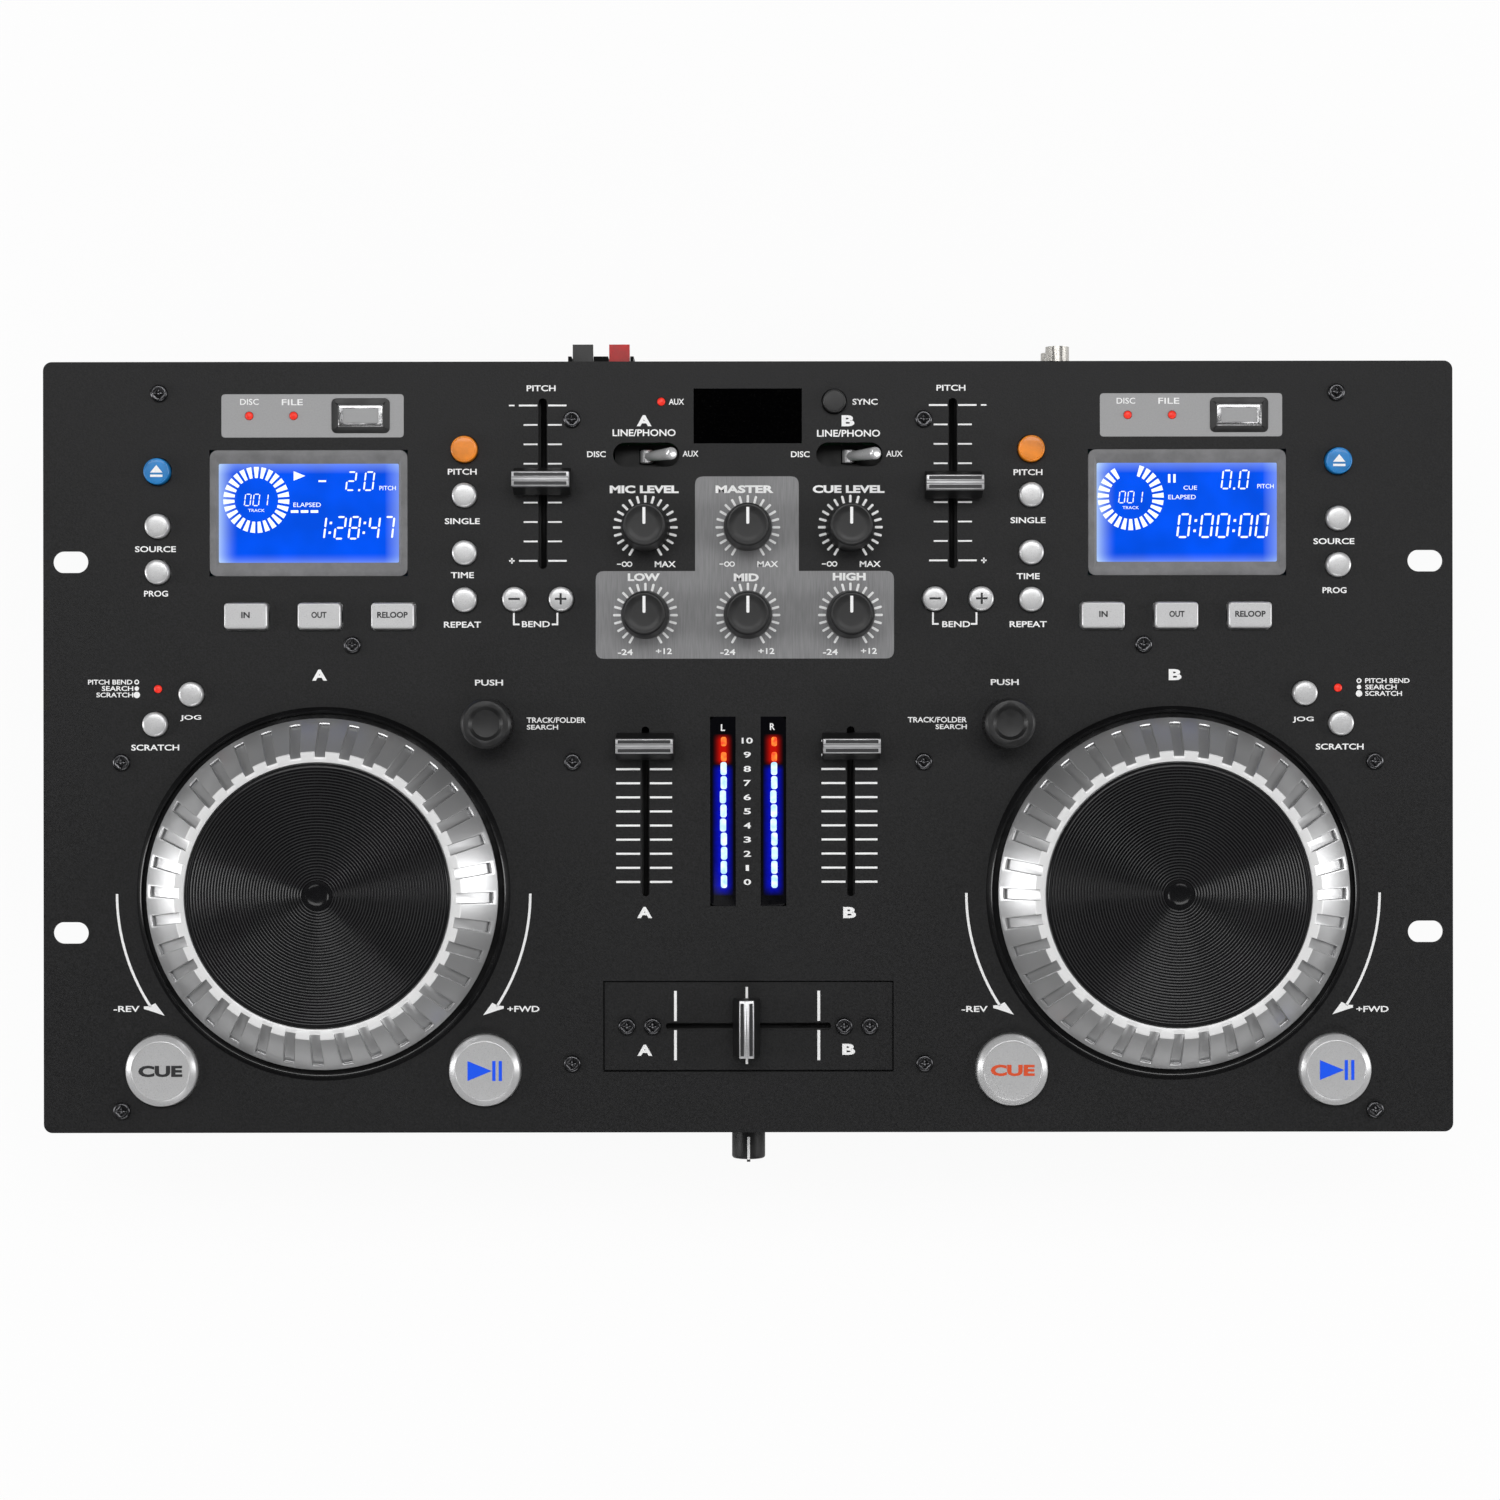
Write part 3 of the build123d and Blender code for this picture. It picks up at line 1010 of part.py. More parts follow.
def circuit_boards():
    """Boards with their switches, potentiometers, fader bodies and transformer."""
    pieces = [control_board(), cue_board(-1), cue_board(1), toggle_body(-1), toggle_body(1)]
    presses = [(x, y) for x, y, _ in round_button_places().values()] + list(cue_places().values())
    for side in SIDES.values():
        presses += [(x, LOOP_Y) for x in key_centres(side)]
    for x, y in presses:
        pieces.append(block(SWITCH_SIDE, SWITCH_SIDE, BOARD_TOP, SWITCH_TOP, x, y))
    pots = list(knob_places().values()) + [(side * TRACK_KNOB_X, TRACK_KNOB_Y) for side in SIDES.values()]
    for x, y in pots:
        pieces.append(block(POT_SIDE, POT_SIDE, BOARD_TOP, POT_TOP, x, y))
    for x, y, length, _, _ in fader_places().values():
        pieces.append(fader_body(x, y, length, FADER_TOP))
    pieces.append(fader_body(0, CROSS_Y, CROSS_SLOT_LENGTH, CROSS_PLATE_BOTTOM, CROSS_END_ROOM, 90))
    board_low = FLOOR_TOP + FLOOR_POST
    for y, depth in ((MAIN_BOARD_Y, MAIN_BOARD_DEPTH), (SUPPLY_BOARD_Y, SUPPLY_BOARD_DEPTH)):
        pieces.append(block(MAIN_BOARD_WIDTH, depth, board_low, board_low + BOARD_THICKNESS, 0, y))
    core_low = board_low + BOARD_THICKNESS
    pieces.append(block(CORE_WIDTH, CORE_DEPTH, core_low, core_low + CORE_HEIGHT, 0, SUPPLY_BOARD_Y))
    near = FRONT_WALL + JACK_DEPTH
    pieces.append(block(FRONT_BOARD_WIDTH, BOARD_THICKNESS, FRONT_AXIS_Z - FRONT_BOARD_HEIGHT / 2,
                        FRONT_AXIS_Z + FRONT_BOARD_HEIGHT / 4, 0, near + BOARD_THICKNESS / 2))
    pieces.append(block(POT_SIDE, POT_HEIGHT, FRONT_AXIS_Z - POT_SIDE / 2, FRONT_AXIS_Z + POT_SIDE / 2,
                        0, near - POT_HEIGHT / 2))
    return group(*pieces)


# ---- Disc trays and drives --------------------------------------------------------------------
def disc_centre_y():
    """Y of the disc when the tray is shut."""
    return FRONT_WALL + TRAY_LENGTH / 2


def disc_tray(side):
    """Tray with the disc's pocket, its window open to the rear, and the front bezel."""
    near = FRONT_WALL - SLIDE_GAP
    deck = block(TRAY_WIDTH, TRAY_LENGTH, TRAY_BASE_HEIGHT, TRAY_TOP, 0, near + TRAY_LENGTH / 2)
    pocket = DISC_DIAMETER + 2 * DISC_CLEARANCE
    deck -= disc(pocket, TRAY_TOP - DISC_POCKET_DEPTH, TRAY_TOP, 0, disc_centre_y())
    front = disc_centre_y() - SPINDLE_DIAMETER / 2 - SLED_LENGTH / 2
    rear = near + TRAY_LENGTH
    deck -= block(TRAY_WINDOW_WIDTH, rear - front, TRAY_BASE_HEIGHT, TRAY_TOP, 0, (front + rear) / 2)
    bezel = RectangleRounded(TRAY_BEZEL_WIDTH, TRAY_BEZEL_HEIGHT, TRAY_CORNER)
    plate = Rot(90, 0, 0) * extrude(bezel, TRAY_BEZEL_THICKNESS)
    plate = Pos(0, near, TRAY_BEZEL_BOTTOM + TRAY_BEZEL_HEIGHT / 2) * plate
    return Pos(side * DECK_X, 0, 0) * (deck + plate)


def drive_pieces(side):
    """Chassis, spindle, pick-up sled, clamp and mounting posts of a disc drive."""
    near = FRONT_WALL + CASE_WALL + DRIVE_FRONT_GAP
    middle = near + DRIVE_LENGTH / 2
    top = DRIVE_BASE_HEIGHT + DRIVE_HEIGHT
    inner = DRIVE_WIDTH - 2 * DRIVE_WALL
    chassis = block(DRIVE_WIDTH, DRIVE_LENGTH, DRIVE_BASE_HEIGHT, top, 0, middle)
    floor = DRIVE_BASE_HEIGHT + DRIVE_WALL
    chassis -= block(inner, DRIVE_LENGTH - DRIVE_WALL, floor, top, 0, middle - DRIVE_WALL)
    centre = disc_centre_y()
    chassis += block(DRIVE_WIDTH, BRIDGE_DEPTH, top - DRIVE_WALL, top, 0, centre)
    clamp_low = TRAY_TOP + DISC_CLEARANCE
    clamp = disc(CLAMP_DIAMETER, clamp_low, clamp_low + CLAMP_THICKNESS, 0, centre)
    clamp += disc(SHAFT_DIAMETER, clamp_low + CLAMP_THICKNESS, top - DRIVE_WALL, 0, centre)
    spindle = disc(SPINDLE_DIAMETER, TRAY_TOP - TRAY_THICKNESS / 2, TRAY_TOP - DISC_POCKET_DEPTH, 0, centre)
    spindle += disc(SHAFT_DIAMETER, floor, TRAY_TOP - TRAY_THICKNESS / 2, 0, centre)
    sled_y = centre + SPINDLE_DIAMETER / 2 + SLED_LENGTH / 2 + SLIDE_GAP
    sled = block(SLED_WIDTH, SLED_LENGTH, floor, TRAY_BASE_HEIGHT - TRAY_GAP, 0, sled_y)
    pieces = [chassis, clamp, spindle, sled]
    for x in (-1, 1):
        for y in (-1, 1):
            pieces.append(disc(POST_DIAMETER, FLOOR_TOP, DRIVE_BASE_HEIGHT, x * (inner / 2 - POST_DIAMETER),
                               middle + y * (DRIVE_LENGTH / 2 - 2 * POST_DIAMETER)))
    return [Pos(side * DECK_X, 0, 0) * piece for piece in pieces]


def disc_drives():
    """Both disc drives."""
    return group(*drive_pieces(-1), *drive_pieces(1))


# ---- The whole console ------------------------------------------------------------------------
def console():
    """Every node by name."""
    nodes = {
        "top_panel": top_panel(),
        "case_tub": case_tub(),
        "rubber_feet": rubber_feet(),
        "fasteners": fasteners(),
        "panel_trim": panel_trim(),
        "display_windows": display_windows(),
        "sockets": sockets(),
        "circuit_boards": circuit_boards(),
        "disc_drives": disc_drives(),
        "terminal_levers": terminal_levers(),
        "power_rocker": power_rocker(),
        "crossfader": crossfader(),
        "knob_phones": front_knob(),
    }
    for name, (x, y, diameter) in round_button_places().items():
        nodes[f"button_{name}"] = round_button(x, y, diameter)
    for name, (x, y) in cue_places().items():
        nodes[f"button_{name}"] = cue_button(x, y)
    for name, (x, y) in knob_places().items():
        nodes[name] = mixer_knob(x, y)
    for name, (x, y, _, _, rest) in fader_places().items():
        nodes[name] = fader(x, y + rest)
    for deck, side in SIDES.items():
        nodes[f"loop_keys_{deck}"] = loop_keys(side)
        nodes[f"track_knob_{deck}"] = track_knob(side)
        nodes[f"toggle_{deck}"] = toggle(side)
        nodes[f"jog_wheel_{deck}"] = jog_wheel(side)
        nodes[f"disc_tray_{deck}"] = disc_tray(side)
    return nodes


os.makedirs("parts", exist_ok=True)
for node_name, shape in console().items():
    shape.label = node_name
    export_step(shape, f"parts/{node_name}.step")
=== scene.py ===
"""Looks of a twin disc deck and two channel mixer console, built around its CAD frame.

Laid out as an add-on and run as a script. Places and sizes are in millimetres until a helper turns
them into metres. +X is the user's right, +Y the rear and +Z up. Deck a is left and deck b is right.
"""

from math import cos, hypot, pi, radians, sin

import bmesh
import bpy
from bpy.props import FloatProperty, FloatVectorProperty, PointerProperty
from mathutils import Matrix, Vector


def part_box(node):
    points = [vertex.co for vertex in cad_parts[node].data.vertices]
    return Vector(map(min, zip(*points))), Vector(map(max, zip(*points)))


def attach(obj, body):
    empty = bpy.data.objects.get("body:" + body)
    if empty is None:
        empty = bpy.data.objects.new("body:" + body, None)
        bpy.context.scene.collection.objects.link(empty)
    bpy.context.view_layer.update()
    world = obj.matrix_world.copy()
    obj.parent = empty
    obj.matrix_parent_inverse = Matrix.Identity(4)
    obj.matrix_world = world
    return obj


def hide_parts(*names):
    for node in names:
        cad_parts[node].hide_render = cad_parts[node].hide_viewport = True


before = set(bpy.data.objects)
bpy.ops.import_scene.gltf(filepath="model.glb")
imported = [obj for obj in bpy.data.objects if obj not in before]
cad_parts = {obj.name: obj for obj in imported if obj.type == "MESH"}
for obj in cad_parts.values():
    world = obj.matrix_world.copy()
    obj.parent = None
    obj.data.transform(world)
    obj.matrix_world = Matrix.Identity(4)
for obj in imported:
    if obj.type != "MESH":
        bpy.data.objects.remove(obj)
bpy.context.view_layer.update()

bl_info = {
    "name": "Dual Disc Console",
    "version": (1, 0, 0),
    "blender": (4, 5, 0),
    "location": "View3D > Sidebar > Console",
    "description": "Builds the finished pieces of a twin disc console over its CAD frame",
    "category": "Object",
}

MM = 0.001
ROOT = "console"
DECKS = {"a": -1, "b": 1}  # each deck's side of the middle
DOUBLE = 0.002 * MM  # corners nearer than this are one


# ---- Places read from the frame ---------------------------------------------------------------
def span(node):
    """Lowest corner, highest corner and middle of a CAD node, in millimetres."""
    low, high = (Vector(corner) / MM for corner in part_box(node))
    return low, high, (low + high) / 2


PANEL_TOP = span("top_panel")[1].z
PANEL_BOTTOM = PANEL_TOP - 2.0
BUTTON_TOP = PANEL_TOP + 3.0
CROSS_TOP = PANEL_TOP - 0.6
BUTTON_FOOT = 79.4  # lower end of a button's stem
FLANGE_LOW, FLANGE_TOP = 82.5, 83.7  # the flange that holds a button under the panel
WINDOW_FOOT = 74.0  # lower end of the windows, ports and lamps
PLATTER_FOOT = 100.8  # where a platter lies on its ring
JOG = {deck: span(f"jog_wheel_{deck}")[2].to_2d() for deck in DECKS}
JOG_TOP = span("jog_wheel_a")[1].z
LCD = {"a": Vector((-150.4, 80.2)), "b": Vector((150.4, 80.2))}
PORT_PLATE = {"a": Vector((-149.0, 113.5)), "b": Vector((151.8, 113.5))}
PITCH_X, PITCH_Y = 70.2, 90.2
CHANNEL_X, CHANNEL_Y = 35.15, -22.1
CROSS_Y = -95.7
METER_X = 8.65
SCALE_STEP = 4.83  # between two bars of a level meter
GROOVES_OUTER, GROOVES_INNER = 43.6, 5.4  # radii of the platter's rings
LAND_MIDDLE = 0.42  # middle of the land between two rings, as a part of their pitch; the platter's painted sheen lines lie there
SILVER_BUTTON, COLOUR_BUTTON, SYNC_BUTTON = 8.35, 9.0, 8.0  # widths
LAMPS = (
    (-29.6, 118.2),  # third input
    (-202.0, 20.0), (-170.7, 113.5), (-155.5, 113.5),  # deck a: jog mode, disc and file
    (202.0, 20.0), (130.1, 113.5), (145.3, 113.5),  # deck b: the same
)
KNOBS = ("knob_mic", "knob_master", "knob_cue_level", "knob_low", "knob_mid", "knob_high")


# ---- What a user may change -------------------------------------------------------------------
def length_option(name, description, default_mm):
    """A length that shows in the scene's own unit."""
    return FloatProperty(name=name, description=description, default=default_mm * MM, unit="LENGTH")


def colour_option(name, description, default):
    """A colour that shows as a swatch."""
    return FloatVectorProperty(name=name, description=description, default=default, size=3,
                               subtype="COLOR", min=0.0, max=1.0)


class ConsoleSizes(bpy.types.PropertyGroup):
    """Sizes of the fine shapes that the CAD leaves plain."""

    groove_pitch: length_option("Groove pitch", "Distance between the rings cut in a jog platter", 1.0)
    groove_depth: length_option("Groove depth", "Depth of the rings cut in a jog platter", 0.22)
    print_thickness: length_option("Print thickness", "How far the printed legends stand over the panel",
                                   0.06)
    edge_round: length_option("Edge round", "Width of the small round on moulded edges", 0.25)
    tick_width: length_option("Tick width", "Width of the marks around the knobs", 0.85)


class ConsoleColours(bpy.types.PropertyGroup):
    """Colours of the console's finishes."""

    panel: colour_option("Panel", "Powder coat of the top panel and the case", (0.011, 0.011, 0.0115))
    ink: colour_option("Ink", "Printed legends", (0.95, 0.95, 0.95))
    silver: colour_option("Silver", "Satin paint of the jog rings and the buttons", (0.74, 0.742, 0.748))
    orange: colour_option("Orange", "Pitch buttons", (0.80, 0.235, 0.008))
    blue: colour_option("Blue", "Eject buttons", (0.008, 0.21, 0.56))
    play_blue: colour_option("Play blue", "Icon on the play buttons", (0.0, 0.10, 1.0))
    lamp_red: colour_option("Lamp red", "Lit indicator lamps", (0.85, 0.02, 0.008))
    display_blue: colour_option("Display blue", "Backlight of the deck displays", (0.0, 0.075, 0.85))


def sizes():
    return bpy.context.scene.console_sizes


def colours():
    return bpy.context.scene.console_colours


# ---- Modelling helpers ------------------------------------------------------------------------
def metres(*values):
    return tuple(value * MM for value in values)


def leave_edit():
    bpy.ops.object.mode_set(mode="OBJECT")


def deselect():
    """Leaves edit mode and clears the selection."""
    if bpy.context.object and bpy.context.object.mode != "OBJECT":
        leave_edit()
    bpy.ops.object.select_all(action="DESELECT")


def take(*objects):
    """Selects these objects alone, the first one active."""
    deselect()
    for obj in objects:
        obj.select_set(True)
    bpy.context.view_layer.objects.active = objects[0]


def shape(obj, everything=False):
    """Opens a piece for editing, with nothing or everything selected."""
    take(obj)
    bpy.ops.object.mode_set(mode="EDIT")
    bpy.ops.mesh.select_mode(type="VERT")
    bpy.ops.mesh.select_all(action="SELECT" if everything else "DESELECT")


def pick(obj, kind, test):
    """Selects the faces or edges whose middle and direction pass a test, in edit mode."""
    bpy.ops.mesh.select_mode(type=kind)
    bpy.ops.mesh.select_all(action="DESELECT")
    mesh = bmesh.from_edit_mesh(obj.data)
    if kind == "FACE":
        for face in mesh.faces:
            face.select_set(test(face.calc_center_median() / MM, face.normal))
    else:
        for edge in mesh.edges:
            first, second = (corner.co for corner in edge.verts)
            edge.select_set(test((first + second) / 2 / MM, (second - first).normalized()))
    bmesh.update_edit_mesh(obj.data)


def close_shape(obj):
    """Merges doubles, turns the faces outwards and leaves edit mode."""
    bpy.ops.mesh.select_all(action="SELECT")
    bpy.ops.mesh.remove_doubles(threshold=DOUBLE)
    bpy.ops.mesh.normals_make_consistent(inside=False)
    leave_edit()
    return obj


def set_place(obj):
    """Puts an object's place into its mesh."""
    take(obj)
    bpy.ops.object.transform_apply(location=True, rotation=True, scale=True)
    return obj


def pull(x, y, z):
    """Extrudes what is selected, in edit mode."""
    bpy.ops.mesh.extrude_region_move(TRANSFORM_OT_translate={"value": metres(x, y, z)})


def drawn(points, closed=False):
    """A line drawn from one corner through (x, y, z) points, left open in edit mode."""
    deselect()
    bpy.ops.mesh.primitive_plane_add(size=MM, location=metres(*points[0]))
    obj = set_place(bpy.context.object)
    shape(obj, everything=True)
    bpy.ops.mesh.merge(type="CENTER")
    route = list(points) + [points[0]] if closed else points
    for here, there in zip(route, route[1:]):
        pull(*(Vector(there) - Vector(here)))
    return obj


def filled(outline):
    """A flat closed outline of (x, y, z) points with its face, left open in edit mode."""
    obj = drawn(outline, closed=True)
    bpy.ops.mesh.select_all(action="SELECT")
    bpy.ops.mesh.remove_doubles(threshold=DOUBLE)
    bpy.ops.mesh.edge_face_add()
    return obj


def turned(outline, x, y, steps=64, closed=False):
    """A (radius, height) outline spun about an upright axis."""
    obj = drawn([(x + radius, y, height) for radius, height in outline], closed)
    bpy.ops.mesh.select_all(action="SELECT")
    bpy.ops.mesh.spin(steps=steps, angle=2 * pi, center=metres(x, y, 0), axis=(0, 0, 1))
    return close_shape(obj)


def prism(outline, along):
    """A flat closed outline of (x, y, z) points, drawn out along a vector."""
    obj = filled(outline)
    pull(*along)
    return close_shape(obj)


def softened(corners, radius, steps=4):
    """An outline of (x, y) corners, each of them rounded by its own radius or by the one given."""
    points = []
    radii = radius if isinstance(radius, list) else [radius] * len(corners)
    for index, corner in enumerate(corners):
        corner = Vector(corner)
        if radii[index] == 0:
            points.append(corner)
            continue
        before = (Vector(corners[index - 1]) - corner).normalized() * radii[index]
        after = (Vector(corners[(index + 1) % len(corners)]) - corner).normalized() * radii[index]
        for step in range(steps + 1):
            t = step / steps
            points.append(corner + before * (1 - t) ** 2 + after * t ** 2)
    return points


def slab(width, depth, low, high, x, y, corner=0.0, rim=0.0, segments=3):
    """An upright block with rounded corners in plan and a rounded upper rim."""
    deselect()
    bpy.ops.mesh.primitive_cube_add(size=1, location=metres(x, y, (low + high) / 2),
                                    scale=metres(width, depth, high - low))
    obj = set_place(bpy.context.object)
    shape(obj)
    if corner:
        pick(obj, "EDGE", lambda middle, way: abs(way.z) > 0.9)
        bpy.ops.mesh.bevel(offset=corner * MM, segments=5, affect="EDGES")
    if rim:
        pick(obj, "FACE", lambda middle, normal: normal.z > 0.9)
        bpy.ops.mesh.select_mode(type="EDGE")
        bpy.ops.mesh.region_to_loop()
        bpy.ops.mesh.bevel(offset=rim * MM, segments=segments, affect="EDGES")
    return close_shape(obj)


def hollow(obj, wall, depth, top):
    """Sinks the top face of a piece, leaving a wall around it."""
    shape(obj)
    pick(obj, "FACE", lambda middle, normal: normal.z > 0.9 and middle.z > top - 0.01)
    bpy.ops.mesh.inset(thickness=wall * MM, use_even_offset=True)
    pull(0, 0, -depth)
    leave_edit()
    return obj


def modified(obj, kind, **settings):
    """Adds a modifier, sets it and applies it."""
    take(obj)
    bpy.ops.object.modifier_add(type=kind)
    modifier = obj.modifiers[-1]
    for name, value in settings.items():
        setattr(modifier, name, value)
    bpy.ops.object.modifier_apply(modifier=modifier.name)
    return obj


def rounded(obj, width=None, segments=2, angle=40):
    """Rounds the edges that are sharper than an angle."""
    width = sizes().edge_round if width is None else width * MM
    return modified(obj, "BEVEL", width=width, segments=segments, limit_method="ANGLE",
                    angle_limit=radians(angle))


def smoothed(obj, angle=35):
    take(obj)
    bpy.ops.object.shade_smooth_by_angle(angle=radians(angle))
    return obj


def moved_copy(model, matrix):
    """A copy with its own mesh, moved by a matrix in millimetres."""
    twin = model.copy()
    twin.data = model.data.copy()
    place = matrix.copy()
    place.translation *= MM
    twin.data.transform(place)
    bpy.context.collection.objects.link(twin)
    return twin


def shift(x, y, z=0.0):
    return Matrix.Translation((x, y, z))


def over(node):
    """A move in plan to the middle of a CAD node."""
    middle = span(node)[2]
    return shift(middle.x, middle.y)


def spun(angle, axis="Z"):
    """A turn about an axis, in degrees."""
    return Matrix.Rotation(radians(angle), 4, axis)


def placed(obj, x, y):
    """Moves a mesh in plan."""
    obj.data.transform(shift(*metres(x, y, 0)))
    return obj


def discard(*objects):
    for obj in objects:
        mesh = obj.data
        bpy.data.objects.remove(obj)
        bpy.data.meshes.remove(mesh)


def joined(objects):
    """Makes one piece of several."""
    take(*objects)
    if len(objects) > 1:
        bpy.ops.object.join()
    return bpy.context.object


def repeated(model, matrices):
    """One piece made of a copy of the model at each place. The model goes."""
    piece = joined([moved_copy(model, matrix) for matrix in matrices])
    discard(model)
    return piece


def piece(obj, name, material, body=ROOT, replaces=(), slot=None, smooth=35):
    """Names a finished piece, gives it its material and ties it to the CAD."""
    obj.name = obj.data.name = name
    obj.data.materials.clear()
    obj.data.materials.append(finish(material))
    for polygon in obj.data.polygons:
        polygon.material_index = 0
    if smooth:
        smoothed(obj, smooth)
    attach(obj, body)
    if replaces:
        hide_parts(*replaces)
    return obj


def cad_copy(node):
    """A copy of a CAD node with its doubles merged."""
    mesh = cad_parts[node].data.copy()
    obj = bpy.data.objects.new(node + "_copy", mesh)
    bpy.context.collection.objects.link(obj)
    shape(obj, everything=True)
    bpy.ops.mesh.remove_doubles(threshold=DOUBLE)
    leave_edit()
    return obj


def box_of(obj):
    """Lowest and highest corner of a mesh, in millimetres."""
    places = [corner.co / MM for corner in obj.data.vertices]
    return [Vector([end(place[i] for place in places) for i in range(3)]) for end in (min, max)]


def middle_of(obj):
    low, high = box_of(obj)
    return (low + high) / 2


def is_board(obj):
    """Whether a solid is a thin wide sheet."""
    low, high = box_of(obj)
    thin, wide, _ = sorted(high - low)
    return thin < 1.9 and wide > 12


def cad_solids(node):
    """The separate solids of a CAD node, as copies."""
    obj = cad_copy(node)
    shape(obj, everything=True)
    bpy.ops.mesh.separate(type="LOOSE")
    leave_edit()
    return list(bpy.context.selected_objects)


def chosen(solids, test):
    """Takes the solids whose middle passes a test out of a list and joins them."""
    found = [obj for obj in solids if test(middle_of(obj))]
    for obj in found:
        solids.remove(obj)
    return joined(found)


def dressed(node, material, body=None, round_edges=0.0, smooth=35, slot=None):
    """A smooth copy of a CAD node in its own finish, which stands for the node."""
    obj = cad_copy(node)
    if round_edges:
        shape(obj, everything=True)
        bpy.ops.mesh.dissolve_limited(angle_limit=radians(1))
        leave_edit()
        rounded(obj, round_edges)
    return piece(obj, node + "_finish", material, body or node, (node,), slot, smooth)


# ---- Printed marks ----------------------------------------------------------------------------
def print_depth(thick):
    """The thickness given, or else the user's thickness of a print."""
    return sizes().print_thickness / MM if thick is None else thick


def letters(text, x, y, width, height, low, thick=0.03, depth=None):
    """Text drawn to a measured width and height, standing on a level."""
    deselect()
    bpy.ops.object.text_add()
    obj = bpy.context.object
    obj.data.body = text
    obj.data.offset = thick
    obj.data.extrude = 0.5
    obj.data.resolution_u = 3
    bpy.ops.object.convert(target="MESH")
    obj = bpy.context.object
    corners = [corner.co for corner in obj.data.vertices]
    left, right = min(c.x for c in corners), max(c.x for c in corners)
    foot, head = min(c.y for c in corners), max(c.y for c in corners)
    depth = print_depth(depth)
    grow = Matrix.Diagonal((width / (right - left), height / (head - foot), depth, 1))
    middle = shift(-(left + right) / 2, -(foot + head) / 2)
    obj.data.transform(Matrix.Scale(MM, 4) @ shift(x, y, low + depth / 2) @ grow @ middle)
    return obj


def mark(width, depth, low, corner=0.0, thick=None):
    """A flat printed mark around the origin."""
    return slab(width, depth, low, low + print_depth(thick), 0, 0, corner=corner)


def flat_shape(corners, low, thick=None, radius=0.0):
    """A flat printed area with an outline of (x, y) corners."""
    outline = softened(corners, radius) if radius else corners
    return prism([(x, y, low) for x, y in outline], (0, 0, print_depth(thick)))


def ring_outline(inner, outer, low, thick):
    """A rectangle of (radius, height) corners."""
    return [(inner, low), (outer, low), (outer, low + thick), (inner, low + thick)]


def flat_ring(inner, outer, low, x, y, steps):
    return turned(ring_outline(inner, outer, low, print_depth(None)), x, y, steps, closed=True)


def swept_arc(radius, width, start, turn, low, x, y):
    """A printed arc about a centre, from a start angle through a turn, in degrees."""
    outline = ring_outline(radius - width / 2, radius + width / 2, low, print_depth(None))
    ray = Vector((cos(radians(start)), sin(radians(start))))
    obj = filled([(x + r * ray.x, y + r * ray.y, z) for r, z in outline])
    bpy.ops.mesh.spin(steps=20, angle=-radians(turn), center=metres(x, y, 0), axis=(0, 0, 1))
    return close_shape(obj)


DIGIT_BARS = {"0": "abcdef", "1": "bc", "2": "abged", "4": "fgbc", "7": "abc", "8": "abcdefg"}
READOUT_FILM = 0.03  # thickness of what a display shows


def segment_digits(text, x, y, width, height, low):
    """Leaning seven bar digits, with a dot or a colon between them."""
    narrow = 0.38
    cells = sum(narrow if sign in ".:" else 1.0 for sign in text)
    pitch = width / cells
    wide, half, stroke = pitch * 0.66, height / 2, height * 0.085
    middle = {
        "a": (0, half), "g": (0, 0), "d": (0, -half),
        "f": (-wide / 2, half / 2), "b": (wide / 2, half / 2),
        "e": (-wide / 2, -half / 2), "c": (wide / 2, -half / 2),
    }
    tip, neck = wide / 2 - stroke * 0.7, wide / 2 - stroke * 1.3
    thin = stroke / 2
    flat = [(-tip, 0), (-neck, thin), (neck, thin), (tip, 0), (neck, -thin), (-neck, -thin)]
    tip, neck = half / 2 - stroke * 0.3, half / 2 - stroke * 0.7
    tall = [(-thin, -neck), (-thin, neck), (0, tip), (thin, neck), (thin, -neck), (0, -tip)]
    bars = {
        "flat": flat_shape(flat, low, READOUT_FILM), "tall": flat_shape(tall, low, READOUT_FILM),
        "dot": mark(stroke * 1.3, stroke * 1.3, low, thick=READOUT_FILM),
    }
    parts = []
    left = x - width / 2
    for sign in text:
        own = narrow if sign in ".:" else 1.0
        centre = left + pitch * own / 2
        left += pitch * own
        if sign in ".:":
            for up in ((-half,) if sign == "." else (-half * 0.45, half * 0.45)):
                parts.append(moved_copy(bars["dot"], shift(centre - x, up)))
            continue
        for bar in DIGIT_BARS[sign]:
            across, up = middle[bar]
            model = bars["flat" if bar in "agd" else "tall"]
            parts.append(moved_copy(model, shift(centre - x + across, up)))
    discard(*bars.values())
    lean = Matrix.Identity(4)
    lean[0][1] = 0.12
    digits = joined(parts)
    digits.data.transform(shift(*metres(x, y, 0)) @ lean)
    return digits


# ---- Materials --------------------------------------------------------------------------------
class Signal:
    """A shader socket that takes part in sums, which become Math nodes."""

    def __init__(self, recipe, socket):
        self.recipe = recipe
        self.socket = socket

    def sum_of(self, operation, first, second):
        return self.recipe.sum_of(operation, first, second)

    def __add__(self, other):
        return self.sum_of("ADD", self, other)

    def __radd__(self, other):
        return self.sum_of("ADD", other, self)

    def __sub__(self, other):
        return self.sum_of("SUBTRACT", self, other)

    def __rsub__(self, other):
        return self.sum_of("SUBTRACT", other, self)

    def __mul__(self, other):
        return self.sum_of("MULTIPLY", self, other)

    def __rmul__(self, other):
        return self.sum_of("MULTIPLY", other, self)

    def __gt__(self, other):
        return self.sum_of("GREATER_THAN", self, other)

    def __lt__(self, other):
        return self.sum_of("LESS_THAN", self, other)

    def __abs__(self):
        return self.sum_of("ABSOLUTE", self, 0.0)


